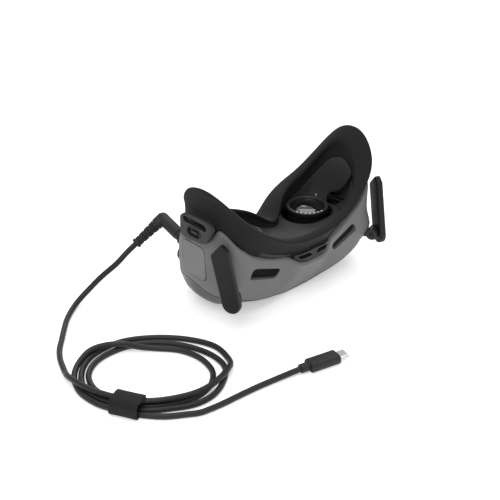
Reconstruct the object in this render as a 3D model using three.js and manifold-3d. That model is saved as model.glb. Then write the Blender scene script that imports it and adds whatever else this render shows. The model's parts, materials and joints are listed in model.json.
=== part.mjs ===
// FPV goggles lying on their front visor, with the face side up, and the charging lead that is
// plugged into them: a right-angle DC plug, a cable in three tied loops and a USB-C plug.
// Millimetres. +Z up, away from the table. +X is the wearer's left, -Y the forehead side.
// The origin is on the table, under the middle of the goggles.
import * as THREE from 'three';
import { mergeVertices } from 'three/addons/utils/BufferGeometryUtils.js';
import Module from 'manifold-3d';

const wasm = await Module();
wasm.setup();

// ---------------------------------------------------------------- driving dimensions
const GAP = 0.35;              // clearance between pieces that touch
const STEPS = 2;               // loft stations between two neighbouring landmarks
const WALL = 2.2;              // shell wall
const VISOR_WALL = 2.0;
const BOARD_T = 2.0;           // lens board
const FRAME_T = 2.0;           // foam frame
const FRAME_DROP = 1.9;        // foam's underside to the frame
const FLOOR_Z = 43;            // flat floor of the lens board

const LENS_X = 32;             // half of the 64 mm eye distance at rest
const IPD_TRAVEL = 4;          // each lens slides this far either way, 56 to 72 mm in all
const RING_R = 15.1;           // front ring of a lens barrel
const BARREL_R = 14.4;
const LENS_R = 11.6;
const RING_TOP_Z = 49;
const BARREL_BASE_Z = 29.5;
const OPENING_R = 15.8;        // ends of the slot in the board that a barrel slides in

const KNOB_X = 50;             // focus knob's axis, outside the barrel
const KNOB_Z = 25;
const KNOB_R = 6.5;
const KNOB_TIP_Y = 41.7;
const PINION_R = 2.2;
const SHAFT_R = 1.5;

const RAIL_Y = 19;
const RAIL_Z = 21;
const RAIL_R = 1.2;
const RAIL_LENGTH = 124;

const FAN_Y = -2;              // blower between the two optics
const FAN_BASE_Z = 12.5;
const FAN_HEIGHT = 7;
const FAN_SIDE = 30;
const ROTOR_R = 11.8;

const ANTENNA_LENGTH = 50;
const ANTENNA_WIDTH = 13.5;
const ANTENNA_T = 4.8;
const HINGE = new THREE.Vector3(67.3, -32.2, 25.5);    // left antenna's hinge centre
const HINGE_YAW = THREE.MathUtils.degToRad(25);        // hinge axis, level, turned from +X
const ANTENNA_DIR = new THREE.Vector3(0.066, 0.221, 0.973).normalize();
const ANTENNA_NORMAL = new THREE.Vector3(0.94, -0.34, 0);
const KNUCKLE_R = 4.2;
const KNUCKLE_HALF = 3.3;

const JACK = new THREE.Vector3(-61, 28.8, 45);         // mouth of the DC socket
const JACK_DIR = new THREE.Vector3(0, 0.948, 0.318);   // out of the socket
const LEAD_DIR = new THREE.Vector3(-0.808, 0.188, -0.559);
const PLUG_R = 4.4;
const PLUG_REACH = 22;         // socket mouth to the plug's elbow
const RELIEF_END = 26;         // elbow to the end of the strain relief
const CABLE_R = 2.0;

const COIL_CENTRE = new THREE.Vector2(-142, -37);
const COIL_TURN = THREE.MathUtils.degToRad(140);       // long axis of the cable loops
const COIL_OUTER = [54, 47];   // half axes of the loops' outer and inner edge
const COIL_INNER = [35, 27];
const COIL_PINCH = [-1.5, 6.2];    // how far the two edges draw together at the tie
const COIL_HEIGHT = 8.2;       // two layers of cable
const TIE_ANGLE = THREE.MathUtils.degToRad(206.5);     // where the tie is, seen from the loops' centre
const TIE_RADIUS = 40.7;
const TIE_SIZE = [19, 17, 12.4];   // along the cables, across them, height

// ---------------------------------------------------------------- landmark curves
// Each closed curve runs round the goggles. Its list is the left half, from the middle of the
// forehead side to the middle of the nose side; the right half is its mirror image. The same
// place in two lists is the same landmark: 0 forehead middle, 1 and 2 vent notch, 3 to 5
// forehead, 6 front corner, 7 to 9 temple, 10 nose-side corner, 11 and 12 cheek, 13 nose, 14 middle.
const SHELL_TOP = [
  [0, -40.2, 33.6], [12, -39.4, 34.5], [21.5, -35, 40], [33, -32.4, 42.6], [46, -30.6, 48.3],
  [57, -30.6, 57], [65, -28, 64.5], [70, -18.5, 71.5], [71.2, -9, 61.5], [70.8, 12, 58],
  [65.5, 26, 53.5], [48, 31.5, 49], [29, 31.5, 41], [14, 29, 31], [0, 26, 27],
];
const SHELL_BOTTOM = [
  [0, -20.5, 1.6], [12, -21.8, 2.9], [22, -24.6, 6.4], [34, -27, 9.8], [46, -27.5, 13.2],
  [57, -26.6, 17.2], [65, -23, 19.3], [69, -15, 20], [70.2, -6, 20.8], [70.4, 13, 24.6],
  [65, 27, 21], [47, 33.5, 14.5], [29, 34, 10.5], [14, 32, 8], [0, 31, 7],
];
const VISOR_RIM = [
  [0, -16, 0.5], [12, -17, 1.1], [21, -18.8, 2.8], [33, -18.5, 4.2], [43, -16, 5.6],
  [52, -13, 7], [59, -11, 8.2], [63.5, -7.5, 9], [65.4, -1.5, 9.6], [66, 11, 10.8],
  [61, 24, 10.6], [45, 30, 7], [28, 30.5, 4.6], [13, 28.5, 3], [0, 27.5, 2.4],
];
const FOAM_BASE = [
  [0, -37.6, 41.6], [11.5, -37.2, 41.2], [20.5, -33.9, 41.6], [32.5, -30.9, 43.4], [45, -29.2, 49.2],
  [55.6, -29, 57.8], [63.3, -26.6, 65.3], [68.2, -17.6, 72.4], [69.4, -8.5, 62.4], [69, 11, 58.8],
  [63.8, 24.6, 54.7], [47, 29.8, 50], [28.5, 29.6, 42], [13.5, 27.6, 32.2], [0, 24.4, 28.4],
];
const FOAM_LIP = [
  [0, -43, 51.5], [12, -43.2, 52.6], [22, -43.1, 54.8], [33, -42.6, 59.8], [46, -39.9, 67.8],
  [57, -36.9, 77.2], [65, -31.2, 86.6], [70.9, -19.5, 96.2], [73.2, -7.5, 99.8], [72.9, 8.4, 96],
  [66.5, 21, 79.5], [48, 26.8, 62.5], [31, 27.5, 57], [16, 28, 48.5], [0, 25, 36],
];
const FOAM_INNER = [
  [0, -35, 51.5], [11, -35, 52.4], [20, -34.8, 54], [30, -34, 57.5], [42, -31.8, 64.5],
  [52, -27.6, 73.5], [59, -20.5, 82.4], [62.8, -11.5, 89], [64.5, -3, 91], [63.4, 6, 88],
  [57.5, 14.5, 75], [43, 17, 63.5], [28, 15.5, 59.5], [12.5, 7.5, 56], [0, -1.5, 44.8],
];
const BOARD_EDGE = [
  [0, -33, 44.2], [11, -33, 44.4], [20, -32.6, 45.4], [30, -31.6, 47.5], [42, -29, 53],
  [51.5, -24.8, 60], [58, -18.5, 68], [61.8, -10.8, 74.5], [63.4, -2.5, 76.5], [62.3, 6.5, 73.5],
  [56.5, 14.8, 62.5], [43, 18, 51], [28.5, 17, 46.2], [13, 9.2, 43.6], [0, 0.3, 42.6],
];
const FLOOR_EDGE = [
  [0, -27.5], [10, -27.5], [19, -27.3], [29, -26.6], [39, -24.5],
  [46.5, -20.5], [51, -14.5], [53, -8], [53.6, -2], [52.8, 5],
  [48.5, 12.5], [38, 16.6], [27.5, 16.4], [12.6, 8.2], [0, -1.2],
].map(([x, y]) => [x, y, FLOOR_Z]);

// ---------------------------------------------------------------- small tools
const vec = (x, y, z) => new THREE.Vector3(x, y, z);
const mix = (a, b, t) => a.map((p, i) => p.clone().lerp(b[i], t));
const shift = (loop, x, y, z) => loop.map((p) => p.clone().add(vec(x, y, z)));

// Closed loop of points from a half list of landmarks.
function ring(half) {
  const left = half.map(([x, y, z]) => vec(x, y, z));
  const right = left.slice(1, -1).reverse().map((p) => vec(-p.x, p.y, p.z));
  const curve = new THREE.CatmullRomCurve3([...left, ...right], true, 'centripetal');
  const count = (left.length + right.length) * STEPS;
  return Array.from({ length: count }, (_, i) => curve.getPoint(i / count));
}

// Moves a loop's points inwards in plan, square to the loop, and up by rise.
function inset(loop, distance, rise = 0) {
  const n = loop.length;
  return loop.map((p, i) => {
    const along = loop[(i + 1) % n].clone().sub(loop[(i + n - 1) % n]);
    const inward = vec(-along.y, along.x, 0).normalize();
    return p.clone().addScaledVector(inward, distance).add(vec(0, 0, rise));
  });
}

function solid(positions, indices) {
  const geometry = new THREE.BufferGeometry();
  geometry.setAttribute('position', new THREE.Float32BufferAttribute(positions, 3));
  geometry.setIndex(indices);
  const merged = mergeVertices(geometry, 1e-4);
  return signedVolume(merged) < 0 ? flipped(merged) : merged;
}

function signedVolume(geometry) {
  const p = geometry.attributes.position;
  const index = geometry.index.array;
  const corner = (k) => vec(p.getX(index[k]), p.getY(index[k]), p.getZ(index[k]));
  let sum = 0;
  for (let k = 0; k < index.length; k += 3) {
    sum += corner(k).dot(corner(k + 1).cross(corner(k + 2)));
  }
  return sum / 6;
}

function flipped(geometry) {
  const index = geometry.index.array;
  for (let k = 0; k < index.length; k += 3) {
    [index[k + 1], index[k + 2]] = [index[k + 2], index[k + 1]];
  }
  return geometry;
}

// Skin over a stack of loops. 'tube' joins the last loop to the first; otherwise the two points
// in ends close the first and the last loop.
function loft(loops, ends = null) {
  const n = loops[0].length;
  const points = loops.flat();
  const faces = [];
  const rows = ends ? loops.length - 1 : loops.length;
  for (let j = 0; j < rows; j += 1) {
    const below = j * n;
    const above = ((j + 1) % loops.length) * n;
    for (let i = 0; i < n; i += 1) {
      const next = (i + 1) % n;
      faces.push(below + i, below + next, above + next);
      faces.push(below + i, above + next, above + i);
    }
  }
  if (ends) {
    const last = (loops.length - 1) * n;
    points.push(...ends);
    for (let i = 0; i < n; i += 1) {
      const next = (i + 1) % n;
      faces.push(points.length - 2, next, i);
      faces.push(points.length - 1, last + i, last + next);
    }
  }
  return solid(points.flatMap((p) => [p.x, p.y, p.z]), faces);
}

function toManifold(geometry) {
  const bare = geometry.clone();
  bare.deleteAttribute('normal');
  bare.deleteAttribute('uv');
  const merged = mergeVertices(bare, 1e-4);
  return new wasm.Manifold(new wasm.Mesh({
    numProp: 3,
    vertProperties: new Float32Array(merged.attributes.position.array),
    triVerts: new Uint32Array(merged.index.array),
  }));
}

function fromManifold(body) {
  const mesh = body.getMesh();
  const geometry = new THREE.BufferGeometry();
  geometry.setAttribute('position', new THREE.Float32BufferAttribute(mesh.vertProperties, 3));
  geometry.setIndex(Array.from(mesh.triVerts));
  return geometry;
}

function cut(geometry, ...tools) {
  let body = toManifold(geometry);
  for (const tool of tools) body = body.subtract(toManifold(tool));
  return fromManifold(body);
}

function join(...geometries) {
  let body = toManifold(geometries[0]);
  for (const other of geometries.slice(1)) body = body.add(toManifold(other));
  return fromManifold(body);
}

function mirrored(geometry) {
  const copy = mergeVertices(stripped(geometry), 1e-4);
  copy.scale(-1, 1, 1);
  return flipped(copy);
}

function stripped(geometry) {
  const bare = geometry.clone();
  bare.deleteAttribute('normal');
  bare.deleteAttribute('uv');
  return bare;
}

const box = (sx, sy, sz, x = 0, y = 0, z = 0) => new THREE.BoxGeometry(sx, sy, sz).translate(x, y, z);

// Box from its low and high corners.
function block(x0, x1, y0, y1, z0, z1) {
  return box(x1 - x0, y1 - y0, z1 - z0, (x0 + x1) / 2, (y0 + y1) / 2, (z0 + z1) / 2);
}

// Cylinder or cone between two points, radius ra at a and rb at b.
function rod(a, b, ra, rb = ra, sides = 16) {
  const along = b.clone().sub(a);
  const geometry = new THREE.CylinderGeometry(rb, ra, along.length(), sides);
  const turn = new THREE.Quaternion().setFromUnitVectors(vec(0, 1, 0), along.clone().normalize());
  geometry.applyQuaternion(turn);
  return geometry.translate(...a.clone().lerp(b, 0.5).toArray());
}

// Geometry made round the origin, set down in the frame of three unit vectors at a point.
function placed(geometry, u, v, w, at) {
  return geometry.applyMatrix4(new THREE.Matrix4().makeBasis(u, v, w).setPosition(at));
}

// Rectangle with round corners, sheared sideways by lean per unit of height.
function roundedShape(width, height, radius, lean = 0) {
  const points = [];
  const x = width / 2;
  const y = height / 2;
  const corner = (cx, cy, start) => {
    for (let k = 0; k <= 3; k += 1) {
      const angle = start + (k / 3) * (Math.PI / 2);
      const py = cy + radius * Math.sin(angle);
      const px = cx + radius * Math.cos(angle) + lean * py;
      points.push(new THREE.Vector2(px, py));
    }
  };
  corner(x - radius, y - radius, 0);
  corner(radius - x, y - radius, Math.PI / 2);
  corner(radius - x, radius - y, Math.PI);
  corner(x - radius, radius - y, -Math.PI / 2);
  return new THREE.Shape(points);
}

function extruded(shape, depth, bevel = 0) {
  const geometry = new THREE.ExtrudeGeometry(shape, {
    depth: depth - 2 * bevel,
    curveSegments: 5,
    bevelEnabled: bevel > 0,
    bevelThickness: bevel,
    bevelSize: bevel,
    bevelOffset: -bevel,
    bevelSegments: 1,
  });
  return geometry.translate(0, 0, bevel - depth / 2);
}

function tube(points, radius, sides, steps) {
  const section = new THREE.Shape();
  for (let k = 0; k < sides; k += 1) {
    const angle = (k / sides) * 2 * Math.PI;
    const [x, y] = [radius * Math.cos(angle), radius * Math.sin(angle)];
    if (k) section.lineTo(x, y);
    else section.moveTo(x, y);
  }
  section.closePath();
  const path = new THREE.CatmullRomCurve3(points, false, 'centripetal');
  return new THREE.ExtrudeGeometry(section, { steps, extrudePath: path, bevelEnabled: false });
}

const MATERIALS = {
  shell: [0x6a6b6d, 0.6, 0],
  visor: [0x2b2c2e, 0.35, 0],
  board: [0x434446, 0.7, 0],
  dark: [0x2a2b2c, 0.6, 0],
  foam: [0x303133, 0.95, 0],
  mesh: [0x151515, 0.8, 0.2],
  black: [0x111112, 0.5, 0],
  glass: [0x20242c, 0.05, 0],
  metal: [0xb9bcc0, 0.3, 1],
  circuit: [0x1d4a34, 0.5, 0],
  cable: [0x1e1e1f, 0.6, 0],
};
const goggles = new THREE.Group();

function add(name, kind, geometry) {
  const [color, roughness, metalness] = MATERIALS[kind];
  const mesh = new THREE.Mesh(geometry, new THREE.MeshStandardMaterial({ color, roughness, metalness }));
  mesh.name = name;
  goggles.add(mesh);
  return mesh;
}

function addPair(name, kind, leftGeometry) {
  add(`${name}_left`, kind, leftGeometry);
  add(`${name}_right`, kind, mirrored(leftGeometry));
}

// ---------------------------------------------------------------- loops
const top = ring(SHELL_TOP);
const bottom = ring(SHELL_BOTTOM);
const visorRim = ring(VISOR_RIM);
const foamBase = ring(FOAM_BASE);
const foamLip = ring(FOAM_LIP);
const foamInner = ring(FOAM_INNER);
const boardEdge = ring(BOARD_EDGE);
const floorEdge = ring(FLOOR_EDGE);

// ---------------------------------------------------------------- vents and ports in the shell
const VENT_SIZE = [25.4, 8.2];
const VENT_LEAN = -0.15;
const ventU = vec(25.2, 1.95, 8.15).normalize();
const ventN = vec(25.2, 1.95, 8.15).cross(vec(-0.8, -2.25, 7.65)).normalize();
const ventV = ventN.clone().cross(ventU);
const VENT_CENTRE = vec(38.4, -30.2, 32.6);
const ventCutter = (margin, depth) => placed(
  extruded(roundedShape(VENT_SIZE[0] - margin, VENT_SIZE[1] - margin, 2.9, VENT_LEAN), depth),
  ventU, ventV, ventN, VENT_CENTRE,
);

const REAR = vec(0, 1, 0);
const rearFrame = (x, y, z) => [vec(-1, 0, 0), vec(0, 0, 1), REAR, vec(x, y, z)];
const knobSlot = (x) => placed(
  extruded(roundedShape(2 * (SHAFT_R + IPD_TRAVEL) + 1, 5, 2.4), 12), ...rearFrame(x, 32, KNOB_Z));
const BUTTONS = { menu_button: [-33, 25, 3.6], back_button: [-22.5, 24, 2.4] };
const USB_AT = vec(31, 33, 26);
const CARD_AT = vec(31, 33, 18.5);
const SCREWS = [[41, 16.5], [58, 36], [-41, 16.5], [-58, 33]];

// Flat cover on each temple, let into a shallow pocket. Its inner face is at PANEL_X.
const PANEL_T = 0.9;
const PANEL_X = 70.9;
const panelPlate = (margin, inner, thickness, bevel) => placed(
  extruded(roundedShape(22 + margin, 25 + margin, 4, 0.06), thickness, bevel),
  vec(0, 1, 0), vec(0, 0, 1), vec(1, 0, 0), vec(inner + thickness / 2, 4, 42));
const panelPocket = panelPlate(2 * GAP, PANEL_X - GAP, 6, 0);

const rearHole = (x, z, r) => rod(vec(x, 24, z), vec(x, 38, z), r);
const shellTools = [
  ventCutter(0, 12),
  mirrored(ventCutter(0, 12)),
  panelPocket,
  mirrored(panelPocket),
  knobSlot(KNOB_X),
  knobSlot(-KNOB_X),
  rod(JACK.clone().addScaledVector(JACK_DIR, -12), JACK.clone().addScaledVector(JACK_DIR, 8), 5.3),
  placed(extruded(roundedShape(9.8, 4.2, 1.9), 12), ...rearFrame(...USB_AT.toArray())),
  placed(extruded(roundedShape(12.6, 2.2, 0.9), 12), ...rearFrame(...CARD_AT.toArray())),
  ...Object.values(BUTTONS).map(([x, z, r]) => rearHole(x, z, r + GAP)),
  ...SCREWS.map(([x, z]) => rearHole(x, z, 1.6 + GAP)),
];

// ---------------------------------------------------------------- shell and visor
// The wall swells outwards above each antenna's hinge.
const SWELL_AT = vec(66, -24.5, 31);
const SWELL = 4.6;
const SWELL_WIDTH = 7;
function swollen(loop) {
  return loop.map((p) => {
    const away = vec(Math.abs(p.x), p.y, p.z).distanceTo(SWELL_AT) / SWELL_WIDTH;
    const push = vec(Math.sign(p.x) * 0.42, -0.91, 0).multiplyScalar(SWELL * Math.exp(-away * away / 2));
    return p.clone().add(push);
  });
}
const low = swollen(inset(mix(bottom, top, 0.2), -0.5));
const middle = swollen(inset(mix(bottom, top, 0.5), -0.8));
const shellBody = loft([
  bottom, low, middle, shift(top, 0, 0, -1.3), inset(top, 1.1),
  inset(top, WALL + 0.1), inset(middle, WALL), inset(bottom, WALL),
]);
add('main_shell', 'shell', cut(shellBody, ...shellTools));

const VISOR_CENTRE = vec(0, 4, 0);
const visorMid = visorRim.map((p) => vec(p.x * 0.72, p.y * 0.72 + 1.1, p.z * 0.24));
const visorFlat = visorRim.map((p) => vec(p.x * 0.42, p.y * 0.46 + 2.1, 0));
const visorEdge = inset(bottom, 0.25, -GAP);
const CAMERA_AT = [49, 9];
const cameraHole = (sign) => rod(
  vec(sign * CAMERA_AT[0], CAMERA_AT[1], -2), vec(sign * CAMERA_AT[0], CAMERA_AT[1], 12), 4.6);
const visorBody = loft([
  visorFlat, visorMid, visorRim, visorEdge,
  inset(visorEdge, VISOR_WALL), inset(visorRim, VISOR_WALL, VISOR_WALL * 0.8),
  shift(visorMid, 0, 0, VISOR_WALL), shift(visorFlat, 0, 0, VISOR_WALL),
], [VISOR_CENTRE, VISOR_CENTRE.clone().setZ(VISOR_WALL)]);
add('front_visor', 'visor', cut(visorBody, cameraHole(1), cameraHole(-1)));
addPair('front_camera', 'glass', rod(vec(...CAMERA_AT, 3.4), vec(...CAMERA_AT, 8.2), 4.6 - GAP));

// ---------------------------------------------------------------- lens board, foam frame, foam
const slope = mix(boardEdge, floorEdge, 0.55).map((p, i) => p.clone().setZ(
  FLOOR_Z + (boardEdge[i].z - FLOOR_Z) * 0.33));
const FLOOR_CENTRE = vec(0, -14, FLOOR_Z);
const SENSOR_AT = vec(56, -8, 0);
const sensorPiece = (margin, z0, z1) => placed(
  extruded(roundedShape(4.8 - margin, 21 - margin, 2.2 - margin / 2), z1 - z0),
  vec(Math.cos(0.12), Math.sin(0.12), 0), vec(-Math.sin(0.12), Math.cos(0.12), 0), vec(0, 0, 1),
  vec(SENSOR_AT.x, SENSOR_AT.y, (z0 + z1) / 2));
const barrelSlot = (sign) => extruded(
  roundedShape(2 * (OPENING_R + IPD_TRAVEL), 2 * OPENING_R, OPENING_R - 0.01), 30)
  .translate(sign * LENS_X, 0, FLOOR_Z);
const boardBody = loft([
  floorEdge, slope, boardEdge,
  shift(boardEdge, 0, 0, -BOARD_T), shift(slope, 0, 0, -BOARD_T), shift(floorEdge, 0, 0, -BOARD_T),
], [FLOOR_CENTRE, FLOOR_CENTRE.clone().setZ(FLOOR_Z - BOARD_T)]);
const LIGHT_AT = vec(51.5, 10.5, 0);
add('lens_board', 'board', cut(
  boardBody, barrelSlot(1), barrelSlot(-1), sensorPiece(0, 30, 70),
  rod(vec(LIGHT_AT.x, LIGHT_AT.y, 30), vec(LIGHT_AT.x, LIGHT_AT.y, 80), 1.1),
));
add('wear_sensor', 'black', sensorPiece(2 * GAP, 45.4, 48.4));
add('status_light', 'glass', rod(vec(LIGHT_AT.x, LIGHT_AT.y, 43.8), vec(LIGHT_AT.x, LIGHT_AT.y, 46.8), 0.75));

add('foam_frame', 'dark', loft([
  inset(foamBase, 2, -FRAME_DROP), inset(boardEdge, -1.2, -FRAME_DROP - 0.5),
  inset(boardEdge, -1.2, -FRAME_DROP - 0.5 - FRAME_T), inset(foamBase, 2, -FRAME_DROP - FRAME_T),
]));

const foamLoops = [
  foamBase,
  inset(mix(foamBase, foamLip, 0.5), 1.2),
  foamLip,
  shift(mix(foamLip, foamInner, 0.28), 0, 0, 1.8),
  shift(mix(foamLip, foamInner, 0.75), 0, 0, 1.4),
  foamInner,
  inset(mix(foamInner, boardEdge, 0.5), -1.6),
  inset(boardEdge, -0.8, -0.4),
];
add('face_foam', 'foam', loft(foamLoops));

// ---------------------------------------------------------------- forehead vents
const VENT_RECESS = 0.9;
const meshAt = ventN.clone().multiplyScalar(-VENT_RECESS);
addPair('vent_mesh', 'mesh', ventCutter(2 * GAP, 1).translate(meshAt.x, meshAt.y, meshAt.z));

function ventFrame() {
  const reach = 2 * STEPS - 1;
  const n = top.length;
  const bars = [];
  for (let k = -reach; k <= reach; k += 1) {
    const i = (k + n) % n;
    const low = top[i].clone().add(vec(0, 0.4, 1.0));
    const high = foamBase[i].clone().add(vec(0, -1.2, -0.5));
    bars.push([low, high, high.clone().add(vec(0, 2.6, 0)), low.clone().add(vec(0, 3.4, 0))]);
  }
  const points = bars.flat();
  const faces = [0, 1, 2, 0, 2, 3];
  const last = points.length - 4;
  faces.push(last, last + 2, last + 1, last, last + 3, last + 2);
  for (let b = 0; b < bars.length - 1; b += 1) {
    for (let s = 0; s < 4; s += 1) {
      const [p, q] = [4 * b + s, 4 * b + ((s + 1) % 4)];
      faces.push(p, p + 4, q + 4, p, q + 4, q);
    }
  }
  return solid(points.flatMap((p) => [p.x, p.y, p.z]), faces);
}
const ventSlot = (sign) => extruded(roundedShape(10.5, 2.6, 1.0, 0.9 * sign), 20)
  .rotateX(Math.PI / 2).translate(sign * 8, -38, 38.2);
add('center_vent_frame', 'dark', cut(ventFrame(), ventSlot(1), ventSlot(-1)));

// ---------------------------------------------------------------- sides
const sidePanel = panelPlate(0, PANEL_X, PANEL_T, 0.3);
add('side_cover', 'shell', sidePanel);
add('touch_side_panel', 'shell', mirrored(sidePanel));

const BRACKET_X = 73.2;
const BRACKET_T = 3.4;
const BRACKET_FOOT = 1.5;      // from the plate inwards to the shell
function strapBracket() {
  const outline = new THREE.Shape();
  outline.moveTo(13.7, 59.6);
  outline.lineTo(-9.5, 61.2);
  outline.quadraticCurveTo(-14, 62.5, -15.6, 66);
  outline.lineTo(-20.6, 75.5);
  outline.quadraticCurveTo(-20, 79.5, -15.6, 80);
  outline.lineTo(9, 79.4);
  outline.quadraticCurveTo(13.6, 78, 14.3, 73.5);
  outline.closePath();
  const plate = extruded(outline, BRACKET_T, 0.6);
  const strapSlot = extruded(roundedShape(23, 5, 1.2), 12).translate(-2.2, 74.2, 0);
  const hookSlot = extruded(roundedShape(12, 5, 2.2), 12).translate(-0.5, 66.6, 0);
  const foot = block(-7, 11, 60.2, 62.8, -BRACKET_T / 2 - BRACKET_FOOT, 0);
  return placed(cut(join(plate, foot), strapSlot, hookSlot), vec(0, 1, 0), vec(0, 0, 1), vec(1, 0, 0),
    vec(BRACKET_X + BRACKET_T / 2, 0, 0));
}
addPair('strap_bracket', 'dark', strapBracket());

// ---------------------------------------------------------------- antennas
const hingeAxis = vec(Math.cos(HINGE_YAW), Math.sin(HINGE_YAW), 0);
const antennaN = ANTENNA_NORMAL.clone().normalize();
const antennaW = ANTENNA_DIR.clone().cross(antennaN).normalize();
const antennaD = antennaN.clone().cross(antennaW);
const PADDLE_OFFSET = 5.4;     // hinge centre to the middle plane of the paddle
const PADDLE_START = -1.2;     // hinge centre to the centre of the paddle's round end

function paddleShape() {
  const half = ANTENNA_WIDTH / 2;
  const length = ANTENNA_LENGTH - half;
  const shape = new THREE.Shape();
  shape.moveTo(-half, 0);
  shape.absarc(0, 0, half, Math.PI, 2 * Math.PI, false);
  shape.lineTo(half, length - 7.6);
  shape.quadraticCurveTo(half, length - 6, half - 1.4, length - 5.2);
  shape.lineTo(-1.2, length - 0.5);
  shape.quadraticCurveTo(-2.4, length, -3.4, length - 0.7);
  shape.lineTo(0.9 - half, length - 3.2);
  shape.quadraticCurveTo(-half, length - 3.8, -half, length - 5);
  shape.closePath();
  return shape;
}

const EAR_T = 1.8;
const toShell = vec(-Math.sin(HINGE_YAW), Math.cos(HINGE_YAW), 0);
const alongHinge = (distance) => HINGE.clone().addScaledVector(hingeAxis, distance);
const pinRoom = rod(alongHinge(-9), alongHinge(5.8), 1.2 + GAP, 1.2 + GAP, 12);

// The knuckle sits in a groove of the paddle, and one ear holds the pin on the outer side.
function antenna() {
  const start = HINGE.clone().addScaledVector(antennaN, PADDLE_OFFSET);
  start.addScaledVector(antennaD, PADDLE_START);
  const paddle = placed(extruded(paddleShape(), ANTENNA_T, 0.9), antennaW, antennaD, antennaN, start);
  const ear = rod(alongHinge(KNUCKLE_HALF + GAP), alongHinge(KNUCKLE_HALF + GAP + EAR_T), KNUCKLE_R);
  const knuckleRoom = rod(alongHinge(-9), alongHinge(KNUCKLE_HALF + GAP), KNUCKLE_R + GAP);
  return cut(join(paddle, ear), knuckleRoom, pinRoom);
}
addPair('antenna', 'black', antenna());
addPair('antenna_pin', 'metal', rod(alongHinge(-KNUCKLE_HALF), alongHinge(5.2), 1.2, 1.2, 12));

function antennaBase() {
  const knuckle = rod(alongHinge(-KNUCKLE_HALF), alongHinge(KNUCKLE_HALF), KNUCKLE_R);
  const neck = rod(HINGE, HINGE.clone().addScaledVector(toShell, 8), 3.2, 3.8);
  const keepOut = loft([
    inset(visorRim, -GAP), inset(bottom, -GAP), inset(low, -GAP), inset(middle, -GAP), inset(top, -GAP),
  ], [vec(0, 0, 5), vec(0, 0, 45)]);
  return cut(join(knuckle, neck), pinRoom, keepOut);
}
addPair('antenna_base', 'black', antennaBase());

// ---------------------------------------------------------------- optics: one slide per eye
function carriage() {
  const plate = block(15.5, 51.5, -16.5, 16.5, 31.4, 33);
  const bearing = block(46.5, 53.5, 15.8, 22.5, 18.5, 32.9);
  const ear = block(26, 38, -22.5, -15.8, 18.5, 32.9);
  const shaftBore = rod(vec(KNOB_X, 10, KNOB_Z), vec(KNOB_X, 30, KNOB_Z), SHAFT_R + GAP);
  const rearBore = rod(vec(10, RAIL_Y, RAIL_Z), vec(60, RAIL_Y, RAIL_Z), RAIL_R + GAP);
  const frontBore = rod(vec(10, -RAIL_Y, RAIL_Z), vec(60, -RAIL_Y, RAIL_Z), RAIL_R + GAP);
  const barrelBore = rod(vec(LENS_X, 0, 25), vec(LENS_X, 0, 40), BARREL_R + GAP, BARREL_R + GAP, 32);
  return cut(join(plate, bearing, ear), shaftBore, rearBore, frontBore, barrelBore);
}
addPair('ipd_carriage', 'black', carriage());

function barrel() {
  const profile = [
    [12.2, BARREL_BASE_Z], [BARREL_R, BARREL_BASE_Z],
    [BARREL_R, RING_TOP_Z - 4], [RING_R, RING_TOP_Z - 3.6],
    [RING_R, RING_TOP_Z - 0.5], [RING_R - 0.5, RING_TOP_Z], [12.9, RING_TOP_Z], [12.2, RING_TOP_Z - 1.2],
    [12.2, BARREL_BASE_Z],
  ].map(([r, z]) => new THREE.Vector2(r, z));
  const body = new THREE.LatheGeometry(profile, 32).rotateX(Math.PI / 2).translate(LENS_X, 0, 0);
  const rackX = KNOB_X - PINION_R - GAP;
  const arm = block(39.5, rackX, 8, 13, 27, 30.6);
  const rack = block(45.6, rackX, 8, 13, 20.2, 30.6);
  return join(stripped(body), arm, rack);
}
addPair('lens_barrel', 'black', barrel());

function lensGlass() {
  const [baseZ, rimZ, crown] = [42.6, 45.3, 3.9];
  const profile = [[0, baseZ], [LENS_R, baseZ]];
  for (let k = 0; k < 5; k += 1) {
    const angle = (k / 5) * (Math.PI / 2);
    profile.push([LENS_R * Math.cos(angle), rimZ + crown * Math.sin(angle)]);
  }
  profile.push([0, rimZ + crown]);
  const points = profile.map(([r, z]) => new THREE.Vector2(r, z));
  return new THREE.LatheGeometry(points, 24).rotateX(Math.PI / 2).translate(LENS_X, 0, 0);
}
addPair('lens', 'glass', lensGlass());
addPair('display_module', 'circuit', block(22, 42, -7, 7, 25.4, 29.1));

// ---------------------------------------------------------------- focus knobs
function knob() {
  const sides = 24;
  const profile = [[0, 35.2], [KNOB_R - 0.6, 35.2], [KNOB_R, 35.8], [KNOB_R, KNOB_TIP_Y - 1.2],
    [KNOB_R - 1.2, KNOB_TIP_Y], [3.4, KNOB_TIP_Y], [3, KNOB_TIP_Y - 0.5], [0, KNOB_TIP_Y - 0.5]];
  const points = profile.map(([r, y]) => new THREE.Vector2(r, y));
  const body = new THREE.LatheGeometry(points, sides).translate(KNOB_X, 0, KNOB_Z);
  const grooves = Array.from({ length: 12 }, (_, k) => {
    const angle = (k / 12) * 2 * Math.PI;
    const at = vec(KNOB_X + (KNOB_R + 0.2) * Math.cos(angle), 0, KNOB_Z + (KNOB_R + 0.2) * Math.sin(angle));
    return rod(at.clone().setY(36.4), at.clone().setY(42), 0.7, 0.7, 6);
  });
  const socket = rod(vec(KNOB_X, 30, KNOB_Z), vec(KNOB_X, 38, KNOB_Z), SHAFT_R + GAP);
  return cut(stripped(body), ...grooves, socket);
}
addPair('focus_knob', 'dark', knob());
addPair('knob_shaft', 'metal', join(
  rod(vec(KNOB_X, 7, KNOB_Z), vec(KNOB_X, 37.6, KNOB_Z), SHAFT_R),
  rod(vec(KNOB_X, 8.2, KNOB_Z), vec(KNOB_X, 12.8, KNOB_Z), PINION_R),
));

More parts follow.
